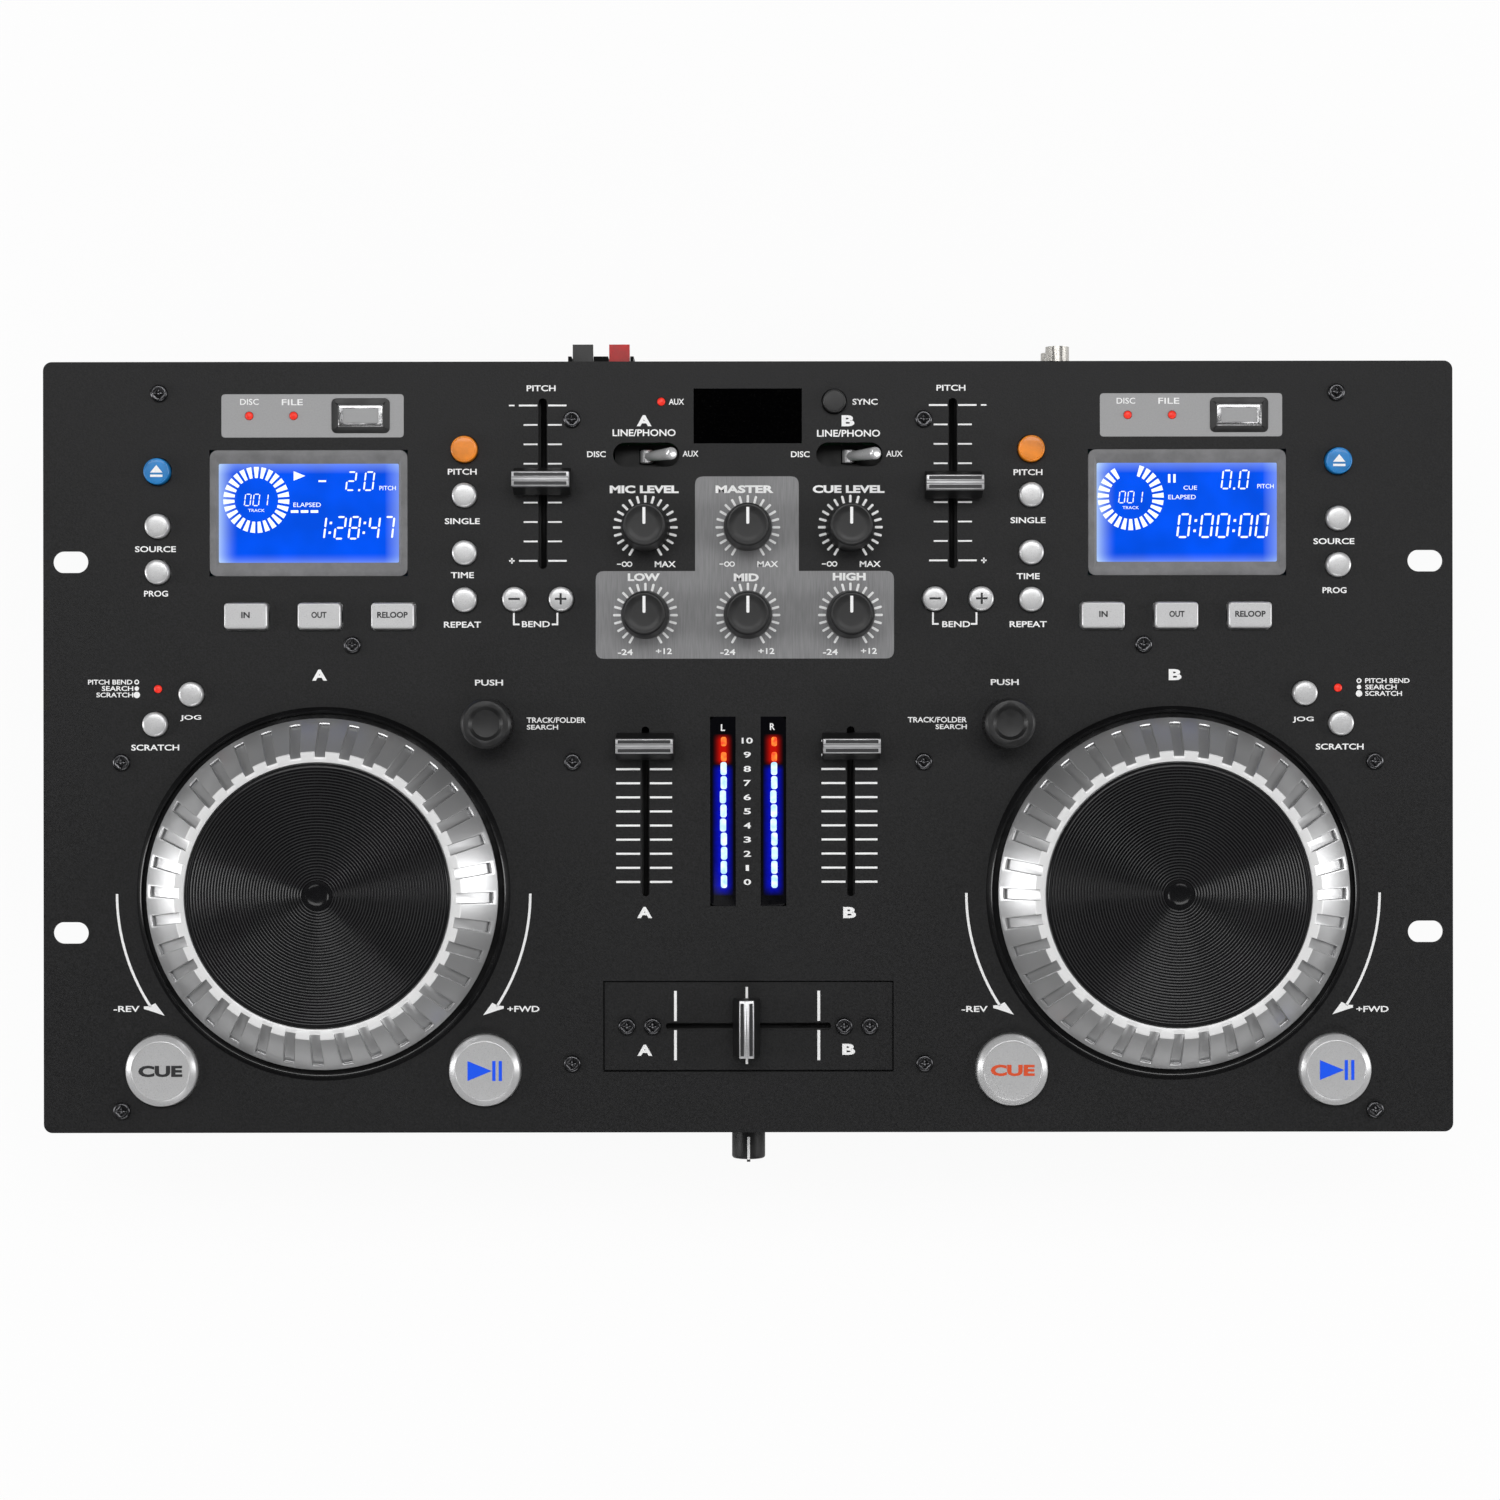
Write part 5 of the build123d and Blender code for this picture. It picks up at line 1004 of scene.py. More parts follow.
class PanelPrints(bpy.types.Operator):
    """Prints the legends, scales, arrows and grey areas on the top panel."""

    bl_idname = "disc_console.panel_prints"
    bl_label = "Panel prints"

    def execute(self, context):
        texts = [letters(text, x, y, w, h, PANEL_TOP, thick=0.045 if h > 2.5 else 0.018)
                 for text, x, y, w, h in LEGENDS]
        texts += [letters(text, x, y, w, h, PANEL_TOP, thick=0.01)
                  for text, x, y, w, h in THIN_LEGENDS]

        def small(word, x, y, width):
            return letters(word, x, y, width, SMALL, PANEL_TOP, thick=0.02)

        for step in range(11):
            width = {1: 1.1, 10: 3.8}.get(step, 2.5)
            texts.append(small(str(step), -0.3, -46.31 + 4.843 * step, width))
        for column in (-35.1, 0, 35.1):
            texts += [small("MAX", column + 6.8, 62.56, 7.2), small("-24", column - 6.9, 32.46, 5.1),
                      small("+12", column + 6.3, 32.79, 5.5)]
            texts += self.minus_infinity(column - 7.05, 62.58)
        piece(joined(texts), "panel_legends", "legend", smooth=0)
        piece(self.knob_scales(), "knob_scales", "legend", smooth=0)
        piece(joined(self.fader_scales()), "fader_scales", "legend", smooth=0)
        piece(joined(self.jog_arrows()), "jog_arrows", "legend", smooth=0)
        piece(joined(self.small_marks()), "bend_brackets_and_dots", "legend", smooth=0)
        piece(self.tone_area(), "tone_area", "grey print", smooth=0)
        for deck in DECKS:
            x, y = PORT_PLATE[deck]
            left, right, front, back = x - 31.2, x + 31.2, y - 7.4, y + 7.4
            corners = [(left, front), (right, front), (right, back), (left, back)]
            plate = flat_shape(corners, PANEL_TOP, 0.03, radius=1.3)
            piece(plate, f"port_plate_print_{deck}", "plate print", smooth=0)
        return {"FINISHED"}

    @staticmethod
    def minus_infinity(x, y):
        """A dash and two rings side by side."""
        dash = placed(mark(1.4, 0.35, PANEL_TOP), x - 2.0, y)
        return [dash] + [flat_ring(0.55, 0.95, PANEL_TOP, x + dx, y, steps=20) for dx in (-0.15, 1.65)]

    @staticmethod
    def knob_scales():
        """Twenty-one marks around each mixer knob."""
        width = sizes().tick_width / MM
        tick = mark(2.7, width, PANEL_TOP, corner=width * 0.42)
        return repeated(tick, [over(name) @ spun(90 + 15 * step) @ shift(9.75, 0)
                               for name in KNOBS for step in range(-10, 11)])

    @staticmethod
    def fader_scales():
        """Marks on both sides of the upright faders, with a sign at each end of the pitch faders."""
        short = mark(4.8, 0.55, PANEL_TOP)
        long = mark(6.3, 0.6, PANEL_TOP)
        channel_left = mark(8.2, 0.7, PANEL_TOP)
        channel_right = mark(7.6, 0.7, PANEL_TOP)
        sign = mark(1.9, 0.5, PANEL_TOP)
        shorts, longs, lefts, rights, signs = [], [], [], [], []
        for side in DECKS.values():
            x = side * PITCH_X
            for step in range(-4, 5):
                y = PITCH_Y + 0.15 + 6.65 * step
                for way in (-1, 1):
                    if abs(step) == 4:
                        longs.append(shift(x + 5.0 * way, y))
                    else:
                        shorts.append(shift(x + 4.15 * way, y))
            sign_x = x + side * 10.6
            minus, plus = shift(sign_x, PITCH_Y + 26.75), shift(sign_x, PITCH_Y - 26.45)
            signs += [minus, plus, plus @ spun(90)]
            for step in range(11):
                y = CHANNEL_Y + 4.826 * (step - 5)
                lefts.append(shift(side * CHANNEL_X - 5.95, y))
                rights.append(shift(side * CHANNEL_X + 5.3, y))
        return [repeated(short, shorts), repeated(long, longs), repeated(channel_left, lefts),
                repeated(channel_right, rights), repeated(sign, signs)]

    @staticmethod
    def jog_arrows():
        """A curved arrow on each side of both jog wheels, pointing to the user."""
        arrows = []
        for deck in DECKS:
            x, y = JOG[deck]
            left = swept_arc(70.75, 0.85, 180, 33.0, PANEL_TOP, x, y)
            head = flat_shape([(x - 54.5, y - 41.7), (x - 57.7, y - 37.4), (x - 59.6, y - 38.4),
                               (x - 61.6, y - 38.5), (x - 61.6, y - 39.4), (x - 59.8, y - 39.9)], PANEL_TOP)
            arrows += [left, head]
            about = shift(x, y) @ Matrix.Scale(-1, 4, (1, 0, 0)) @ shift(-x, -y)
            for part in (left, head):
                mirror = moved_copy(part, about)
                shape(mirror, everything=True)
                bpy.ops.mesh.normals_make_consistent(inside=False)
                leave_edit()
                arrows.append(mirror)
        return arrows

    @staticmethod
    def small_marks():
        """Brackets under the bend buttons and dots beside the jog mode legend."""
        marks = []
        bracket = ((7.75, 46.0), (7.75, 41.7), (5.5, 41.7), (5.5, 42.3), (7.15, 42.3), (7.15, 46.0))
        for middle in (-72.7, 70.8):
            for way in (-1, 1):
                marks.append(flat_shape([(middle + way * dx, y) for dx, y in bracket], PANEL_TOP))
        for x in (-209.3, 209.2):
            for inner, outer, y in ((0.45, 0.85, 22.4), (0.02, 0.75, 20.2), (0.02, 1.1, 18.0)):
                marks.append(flat_ring(inner, outer, PANEL_TOP, x, y, steps=24))
        return marks

    @staticmethod
    def tone_area():
        """The grey area behind the master and tone knobs."""
        corners = [(-52.1, 30.2), (50.0, 30.2), (50.0, 60.2), (17.45, 60.2), (17.45, 92.6),
                   (-18.05, 92.6), (-18.05, 60.2), (-52.1, 60.2)]
        return flat_shape(corners, PANEL_TOP, 0.03, radius=[2.8, 2.8, 2.8, 0, 2.8, 2.8, 0, 2.8])


# ---- Jog wheels -------------------------------------------------------------------------------
class JogWheels(bpy.types.Operator):
    """Builds the notched rings, the grooved platters and the spindles of both decks."""

    bl_idname = "disc_console.jog_wheels"
    bl_label = "Jog wheels"

    def execute(self, context):
        ring = self.notched_ring()
        platter = self.platter()
        spindle = turned([(0, 64.0), (3.7, 64.0), (4.0, 64.3), (4.0, PLATTER_FOOT), (0, PLATTER_FOOT)],
                         0, 0, 32)
        lean = {"a": -1.1, "b": 0.0}
        for deck in DECKS:
            node = f"jog_wheel_{deck}"
            place = shift(*JOG[deck])
            piece(moved_copy(ring, place @ spun(lean[deck])), f"jog_ring_{deck}", "jog silver", node,
                  (node,), "jog_silver", 25)
            piece(moved_copy(platter, place), f"jog_platter_{deck}", "platter", node, (node,), smooth=20)
            piece(moved_copy(spindle, place), f"jog_spindle_{deck}", "nickel", node, (node,))
        discard(ring, platter, spindle)
        return {"FINISHED"}

    @staticmethod
    def notched_ring():
        """The turned ring with its thirty-six notches cut in the cone."""
        rim_top, ring_top, foot = PANEL_TOP + 4.0, PANEL_TOP + 16.3, PANEL_TOP + 2.0
        ring = turned([
            (60.0, foot), (60.0, rim_top - 0.25), (59.8, rim_top), (48.85, ring_top - 0.3),
            (48.35, ring_top), (45.25, ring_top), (45.0, ring_top - 0.25), (45.0, PLATTER_FOOT),
            (4.0, PLATTER_FOOT), (4.0, foot), (6.6, foot), (6.6, 98.2), (42.4, 98.2),
            (57.4, rim_top - 1.3), (57.4, foot)], 0, 0, 144, closed=True)
        slope = 12.3 / 11.4  # rise of the cone over its run
        sink = 1.4 * hypot(1, slope)  # a notch 1.4 deep, measured upright

        def cone(radius):
            return rim_top + (60.0 - radius) * slope

        inner, outer, ledge, above = 48.6 - sink / slope, 57.9, 58.8, ring_top + 3.0
        side = [(inner, ring_top), (outer, cone(outer) - sink), (outer, cone(ledge)), (63.0, cone(ledge)),
                (63.0, above), (inner, above)]
        cutter = prism([(-1.8, radius, height) for radius, height in side], (3.6, 0, 0))
        cutters = repeated(cutter, [spun(10 * step) for step in range(36)])
        modified(ring, "BOOLEAN", operation="DIFFERENCE", solver="EXACT", object=cutters)
        discard(cutters)
        return rounded(ring, 0.12, 1, 42)

    @staticmethod
    def platter():
        """The black disc with its rings cut one inside the other, and its dimple."""
        pitch, depth = sizes().groove_pitch / MM, sizes().groove_depth / MM
        top = JOG_TOP
        outline = [(0, PLATTER_FOOT), (44.7, PLATTER_FOOT), (44.7, top - 0.5), (44.55, top - 0.3),
                   (44.2, top - 0.3), (44.0, top - 0.1)]
        radius = GROOVES_OUTER
        while radius > GROOVES_INNER:
            for inward, down in ((0.0, depth * 0.25), (0.18, 0.0), (0.36, depth * 0.25), (0.5, depth),
                                 (0.75, depth)):
                outline.append((radius - inward * pitch, top - 0.02 - down))
            radius -= pitch
        outline += [(5.0, top - 0.05), (4.5, top - 0.02), (4.2, top), (3.9, top - 0.03), (3.7, top - 0.15),
                    (3.2, top - 0.35), (2.4, top - 0.5), (1.2, top - 0.58), (0, top - 0.6)]
        return turned(outline, 0, 0, 120)


class JogBezels(bpy.types.Operator):
    """Builds the wells of the jog wheels and the screwed plate of the crossfader."""

    bl_idname = "disc_console.jog_bezels"
    bl_label = "Jog bezels and crossfader plate"

    def execute(self, context):
        top, floor, foot = PANEL_TOP + 2.6, PANEL_TOP + 1.0, PANEL_TOP - 20.0
        well = turned([
            (64.0, PANEL_TOP), (63.9, PANEL_TOP + 0.35), (62.55, top - 0.35), (62.25, top - 0.08),
            (62.05, top), (61.85, top - 0.05), (61.72, top - 0.3), (61.7, floor), (9.0, floor), (4.6, floor),
            (4.3, floor - 0.3), (4.2, foot), (9.0, foot), (9.0, PANEL_TOP)], 0, 0, 144, closed=True)
        for deck in DECKS:
            piece(moved_copy(well, shift(*JOG[deck])), f"jog_bezel_{deck}", "gloss black", ROOT,
                  ("panel_trim",), "trim_black", 30)
        discard(well)
        solids = cad_solids("panel_trim")
        plate = chosen(solids, lambda middle: abs(middle.x) < 20)
        discard(*solids)
        shape(plate, everything=True)
        bpy.ops.mesh.dissolve_limited(angle_limit=radians(1))
        pick(plate, "EDGE", lambda middle, way: abs(way.x) + abs(way.y) > 0.99 and middle.z > CROSS_TOP - 0.01
             and (abs(middle.x) > 49.3 or abs(middle.y - CROSS_Y) > 15.1))
        bpy.ops.mesh.bevel(offset=0.3 * MM, segments=2, affect="EDGES")
        leave_edit()
        piece(plate, "crossfader_plate", "panel", ROOT, ("panel_trim",), "trim_black", 30)
        piece(joined(self.plate_print()), "crossfader_print", "legend", smooth=0)
        return {"FINISHED"}

    @staticmethod
    def plate_print():
        """Three lines across the crossfader's way, and a letter at each end."""
        side = mark(0.95, 10.3, CROSS_TOP)
        lines = [shift(x, CROSS_Y + y) for x in (-25.0, 24.1) for y in (6.95, -6.5)]
        centre = mark(0.85, 11.3, CROSS_TOP)
        return [repeated(side, lines),
                repeated(centre, [shift(-0.55, CROSS_Y + y) for y in (7.8, -7.3)]),
                letters("A", -35.47, -103.93, 5.1, TALL, CROSS_TOP, thick=0.045),
                letters("B", 34.34, -103.67, 4.4, TALL, CROSS_TOP, thick=0.045)]


# ---- Buttons and keys -------------------------------------------------------------------------
def round_buttons():
    """Names of the small round buttons."""
    return [name for name in sorted(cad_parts) if name.startswith("button_")
            and not name.startswith(("button_cue", "button_play"))]


def round_button_size(name):
    if name == "button_sync":
        return SYNC_BUTTON
    return COLOUR_BUTTON if name.startswith(("button_eject", "button_pitch_on")) else SILVER_BUTTON


class RoundButtons(bpy.types.Operator):
    """Builds the small round buttons and their icons."""

    bl_idname = "disc_console.round_buttons"
    bl_label = "Round buttons"

    def execute(self, context):
        silver = self.domed(SILVER_BUTTON / 2)
        coloured = self.flat_topped(COLOUR_BUTTON / 2)
        dark = self.flat_topped(SYNC_BUTTON / 2)
        for name in round_buttons():
            model, material, slot = silver, "button silver", "button_silver"
            if name.startswith("button_eject"):
                model, material, slot = coloured, "blue", "button_blue"
            elif name.startswith("button_pitch_on"):
                model, material, slot = coloured, "orange", "button_orange"
            elif name == "button_sync":
                model, material, slot = dark, "knob black", "knob_black"
            piece(moved_copy(model, over(name)), name + "_cap", material, name, (name,), slot)
            self.icon(name)
        discard(silver, coloured, dark)
        return {"FINISHED"}

    @staticmethod
    def tail(radius):
        """Stem and flange of a button, up to its wall."""
        return [(0, BUTTON_FOOT), (2.0, BUTTON_FOOT), (2.0, FLANGE_LOW), (radius + 1.2, FLANGE_LOW),
                (radius + 1.2, FLANGE_TOP), (radius, FLANGE_TOP)]

    def domed(self, radius):
        top = BUTTON_TOP
        crown = [(radius, top - 1.0), (radius - 0.08, top - 0.62), (radius - 0.28, top - 0.36),
                 (radius - 0.62, top - 0.2), (radius - 1.2, top - 0.1), (radius - 2.2, top - 0.03), (0, top)]
        return turned(self.tail(radius) + crown, 0, 0, 48)

    def flat_topped(self, radius):
        top = BUTTON_TOP
        crown = [(radius, top - 0.5), (radius - 0.07, top - 0.22), (radius - 0.25, top - 0.05),
                 (radius - 0.42, top), (radius - 0.55, top - 0.04), (radius - 0.65, top - 0.16),
                 (radius - 1.2, top - 0.12), (0, top - 0.08)]
        return turned(self.tail(radius) + crown, 0, 0, 48)

    @staticmethod
    def icon(name):
        """Eject, plus and minus signs."""
        low = BUTTON_TOP - 0.1
        x, y, _ = span(name)[2]
        if name.startswith("button_eject"):
            arrow = flat_shape([(x - 2.1, y - 0.5), (x + 2.1, y - 0.5), (x, y + 2.1)], low, 0.08)
            foot = placed(mark(4.2, 0.8, low, thick=0.08), x, y - 1.6)
            piece(joined([arrow, foot]), name + "_icon", "legend", name, smooth=0)
        elif name.startswith("button_bend"):
            bars = [placed(mark(3.9, 0.7, low, thick=0.13), x, y)]
            if "plus" in name:
                bars.append(placed(mark(0.7, 3.9, low, thick=0.135), x, y))
            piece(joined(bars), name + "_icon", "dark legend", name, smooth=0)


class CueButtons(bpy.types.Operator):
    """Builds the large cue and play buttons with their icons."""

    bl_idname = "disc_console.cue_buttons"
    bl_label = "Cue and play buttons"

    def execute(self, context):
        top = PANEL_TOP + 4.2
        model = turned([
            (0, 79.8), (2.0, 79.8), (2.0, FLANGE_LOW), (13.35, FLANGE_LOW), (13.35, FLANGE_TOP),
            (12.2, FLANGE_TOP), (12.2, top - 1.75), (12.05, top - 1.35), (11.75, top - 1.05),
            (10.25, top - 0.1), (10.05, top), (9.85, top - 0.02), (9.75, top - 0.12), (9.5, top - 0.14),
            (5.0, top - 0.1), (0, top - 0.08)], 0, 0, 72)
        for deck in DECKS:
            for name in (f"button_cue_{deck}", f"button_play_{deck}"):
                piece(moved_copy(model, over(name)), name + "_cap", "button silver", name, (name,),
                      "button_silver")
        discard(model)
        for deck, ink in (("a", "dark legend"), ("b", "orange legend")):
            name = f"button_cue_{deck}"
            x, y, _ = span(name)[2]
            word = letters("CUE", x, y, 15.0, 3.9, top - 0.16, thick=0.045, depth=0.14)
            piece(word, name + "_word", ink, name, smooth=0)
            name = f"button_play_{deck}"
            x, y, _ = span(name)[2]
            arrow = flat_shape([(x - 5.7, y + 3.4), (x - 5.7, y - 3.4), (x + 2.6, y)], top - 0.14, 0.12)
            bars = repeated(mark(1.1, 6.8, top - 0.14, thick=0.12), [shift(x + dx, y) for dx in (3.3, 5.5)])
            piece(joined([arrow, bars]), name + "_icon", "play legend", name, smooth=0)
        return {"FINISHED"}


class LoopKeys(bpy.types.Operator):
    """Builds the three silver loop keys of each deck on their bar."""

    bl_idname = "disc_console.loop_keys"
    bl_label = "Loop keys"

    def execute(self, context):
        top = BUTTON_TOP
        for deck in DECKS:
            node = f"loop_keys_{deck}"
            low, high, middle = span(node)
            centres = [middle.x + step * 25.1 for step in (-1, 0, 1)]
            cap = slab(14.8, 8.9, PANEL_BOTTOM - 1.5, top, 0, 0, corner=1.2, rim=0.7, segments=4)
            shape(cap)
            pick(cap, "FACE", lambda centre, normal: normal.z > 0.95)
            bpy.ops.mesh.inset(thickness=0.35 * MM)
            bpy.ops.transform.translate(value=metres(0, 0, -0.06))
            leave_edit()
            flange = slab(17.2, 11.2, FLANGE_LOW, FLANGE_TOP, 0, 0, corner=1.6)
            stem = slab(4.0, 4.0, BUTTON_FOOT, FLANGE_LOW + 0.1, 0, 0, corner=0.5)
            key = joined([cap, flange, stem])
            keys = repeated(key, [shift(x, middle.y) for x in centres])
            bar = slab(high.x - low.x - 4.0, 4.0, FLANGE_LOW, FLANGE_TOP, middle.x, middle.y, corner=0.4)
            piece(joined([keys, bar]), node + "_caps", "key silver", node, (node,), "button_silver", 30)
            words = [letters(text, x, middle.y + 0.3, w, 2.1, top - 0.08, thick=0.03, depth=0.06)
                     for text, x, w in zip(("IN", "OUT", "RELOOP"), centres, (2.9, 5.2, 10.4))]
            piece(joined(words), node + "_words", "dark legend", node, smooth=0)
        return {"FINISHED"}


# ---- Knobs and toggles ------------------------------------------------------------------------
class Knobs(bpy.types.Operator):
    """Builds the six mixer knobs, the two track knobs and the knob on the front."""

    bl_idname = "disc_console.knobs"
    bl_label = "Knobs"

    def execute(self, context):
        top = span("knob_mic")[1].z
        model = turned([
            (0, 80.5), (3.0, 80.5), (3.0, 88.2), (7.0, 88.2), (7.2, 87.0), (8.05, 87.0), (8.2, 87.15),
            (8.2, 89.7), (8.08, 90.0), (7.32, top - 0.75), (7.18, top - 0.35), (6.9, top - 0.08),
            (6.55, top), (6.2, top - 0.05), (5.9, top - 0.22), (4.0, top - 0.28), (0, top - 0.3)], 0, 0, 72)
        pointer = mark(1.0, 6.0, top - 0.32, corner=0.35, thick=0.1)
        for name in KNOBS:
            place = over(name)
            piece(moved_copy(model, place), name + "_body", "knob black", name, (name,), "knob_black", 30)
            piece(moved_copy(pointer, place @ shift(0, 3.2)), name + "_pointer", "legend", name, smooth=0)
        discard(model, pointer)
        for deck in DECKS:
            dressed(f"track_knob_{deck}", "knob black", round_edges=0.12, slot="knob_black")
        dressed("knob_phones", "knob black", round_edges=0.1, slot="knob_black")
        low, _, middle = span("knob_phones")
        line = slab(0.9, 8.0, middle.z + 5.45, middle.z + 5.88, middle.x, low.y + 4.8, corner=0.2)
        piece(line, "knob_phones_pointer", "legend", "knob_phones", smooth=0)
        return {"FINISHED"}


class Toggles(bpy.types.Operator):
    """Finishes the two source toggles."""

    bl_idname = "disc_console.toggles"
    bl_label = "Source toggles"

    def execute(self, context):
        for deck, side in DECKS.items():
            node = f"toggle_{deck}"
            lever = turned([
                (0, 0.2), (1.75, 0.2), (1.8, 0.5), (1.85, 8.0), (2.1, 14.6), (2.15, 15.4), (2.1, 16.2),
                (1.9, 16.65), (1.5, 16.85), (0.8, 16.95), (0, 17.0)], 0, 0, 40)
            hub = turned([(0, -2.3), (2.0, -2.3), (2.3, -2.0), (2.3, 2.0), (2.0, 2.3), (0, 2.3)], 0, 0, 32)
            hub.data.transform(spun(90, "X"))
            lever = joined([lever, hub])
            place = shift(side * 34.8, 100.1, PANEL_TOP - 9.0) @ spun(33, "Y")
            piece(moved_copy(lever, place), node + "_lever", "lever silver", node, (node,))
            discard(lever)
        return {"FINISHED"}


# ---- Faders -----------------------------------------------------------------------------------
class Faders(bpy.types.Operator):
    """Builds the caps of the pitch faders, the channel faders and the crossfader."""

    bl_idname = "disc_console.faders"
    bl_label = "Faders"

    def execute(self, context):
        bottom, top = PANEL_TOP + 2.0, span("pitch_fader_a")[1].z
        skirt = self.bar([
            (-4.6, bottom), (4.6, bottom), (4.6, bottom + 1.3), (2.55, bottom + 7.6), (2.4, bottom + 8.4),
            (-2.4, bottom + 8.4), (-2.55, bottom + 7.6), (-4.6, bottom + 1.3)], 19.6, 0.3)
        head = self.bar([
            (-2.5, bottom + 8.0), (2.5, bottom + 8.0), (2.5, top - 0.75), (2.3, top - 0.45),
            (0.75, top - 0.45), (0.45, top - 0.1), (0.3, top), (-0.3, top), (-0.45, top - 0.1),
            (-0.75, top - 0.45), (-2.3, top - 0.45), (-2.5, top - 0.75)], 19.4, 0.12)
        bands = joined([slab(17.8, 1.15, top - 0.46, top - 0.38, 0, y, corner=0.15) for y in (1.5, -1.5)])
        line = slab(18.6, 0.55, top - 0.05, top - 0.002, 0, 0, corner=0.1)
        for name in ("pitch_fader_a", "pitch_fader_b", "channel_fader_a", "channel_fader_b", "crossfader"):
            place = over(name) @ spun(90 if name == "crossfader" else 0)
            blade = slab(1.2, 4.0, span(name)[0].z, bottom + 0.5, 0, 0, corner=0.15)
            piece(moved_copy(skirt, place), name + "_skirt", "trim black", name, (name,), smooth=30)
            piece(moved_copy(head, place), name + "_head", "cap silver", name, (name,), "fader_silver", 30)
            piece(moved_copy(bands, place), name + "_bands", "cap band", name, smooth=0)
            piece(moved_copy(line, place), name + "_line", "legend", name, smooth=0)
            piece(moved_copy(blade, place), name + "_blade", "drive steel", name, (name,))
            discard(blade)
        discard(skirt, head, bands, line)
        return {"FINISHED"}

    @staticmethod
    def bar(side, length, round_mm):
        """A bar along X with this (y, z) side view."""
        obj = prism([(-length / 2, y, z) for y, z in side], (length, 0, 0))
        return rounded(obj, round_mm, 2, 50)


# ---- Displays, meters and lamps ---------------------------------------------------------------
class Displays(bpy.types.Operator):
    """Builds the deck displays with what they show, and the black mixer window."""

    bl_idname = "disc_console.displays"
    bl_label = "Displays"

    def execute(self, context):
        replaced = ("display_windows",)
        foot = PANEL_TOP - 3.2
        for deck in DECKS:
            x, y = LCD[deck]
            bezel = self.window(slab(67.9, 43.3, foot, PANEL_TOP, x, y, corner=2.8, rim=0.3), x, y)
            piece(bezel, f"display_bezel_{deck}", "bezel grey", ROOT, replaced, "trim_black", 30)
            pane = slab(61.8, 33.9, foot, PANEL_TOP - 0.8, x, y, corner=0.3)
            piece(pane, f"display_pane_{deck}", "display " + deck, ROOT, replaced, "display_blue", 30)
            piece(joined(self.readout(deck)), f"display_readout_{deck}", "segments", smooth=0)
        window = slab(37.1, 18.8, WINDOW_FOOT, PANEL_TOP, 0, 113.3, corner=1.0, rim=0.15)
        piece(window, "mixer_window", "window black", ROOT, replaced, smooth=30)
        return {"FINISHED"}

    @staticmethod
    def window(bezel, x, y):
        """Sinks the sloping opening of a bezel down to its pane."""
        shape(bezel)
        pick(bezel, "FACE", lambda middle, normal: normal.z > 0.99)
        bpy.ops.mesh.inset(thickness=1.9 * MM)
        sunk = 0.85
        pull(0, 0, -sunk)
        narrower = (61.6 / 63.5, 33.7 / 38.9, 1)
        bpy.ops.transform.resize(value=narrower, center_override=metres(x, y, PANEL_TOP - sunk))
        leave_edit()
        return bezel

    def readout(self, deck):
        """Ring of wedges, icons, words and digits of a display."""
        top = PANEL_TOP - 0.8
        x, y = LCD[deck]
        ring_x, ring_y = (-18.0, 4.6) if deck == "a" else (-19.2, 5.2)
        wedge = flat_shape([(7.5, -0.48), (11.3, -0.86), (11.3, 0.86), (7.5, 0.48)], top, READOUT_FILM)
        all_wedges = 27
        skipped = 0 if deck == "a" else 3
        turns = [spun(90 - (step + skipped / 2) * 360 / all_wedges) for step in range(all_wedges - skipped)]
        parts = [repeated(wedge, [shift(x + ring_x, y + ring_y) @ turn for turn in turns])]

        def word(text, dx, dy, w, h):
            parts.append(letters(text, x + dx, y + dy, w, h, top, thick=0.0, depth=READOUT_FILM))

        def digits(text, dx, dy, w, h):
            parts.append(segment_digits(text, x + dx, y + dy, w, h, top))

        def bars(width, height, places):
            model = mark(width, height, top, thick=READOUT_FILM)
            parts.append(repeated(model, [shift(x + dx, y + dy) for dx, dy in places]))

        digits("001", ring_x, ring_y, 8.8, 3.9)
        word("TRACK", ring_x, ring_y - 3.6, 5.6, 1.0)
        if deck == "a":
            play = flat_shape([(-5.2, 11.2), (-5.2, 14.4), (-1.2, 12.8)], top, READOUT_FILM)
            parts.append(placed(play, x, y))
            bars(2.6, 0.6, [(4.6, 11.0)])
            digits("2.0", 17.6, 11.0, 10.6, 6.2)
            word("PITCH", 27.0, 8.6, 5.6, 1.5)
            word("ELAPSED", -0.6, 2.9, 9.4, 1.5)
            bars(2.6, 0.9, [(-4.9, 0.6), (-1.5, 0.6), (1.9, 0.6)])
            digits("1:28:47", 15.6, -5.0, 28.2, 7.4)
        else:
            bars(0.8, 2.9, [(-6.0, 11.6), (-4.2, 11.6)])
            word("CUE", 1.2, 8.4, 4.6, 1.4)
            digits("0.0", 16.6, 11.2, 10.2, 6.2)
            word("PITCH", 27.0, 8.9, 5.6, 1.5)
            word("ELAPSED", -1.6, 5.2, 9.4, 1.5)
            digits("0:00:00", 12.4, -4.6, 32.4, 7.8)
        return parts


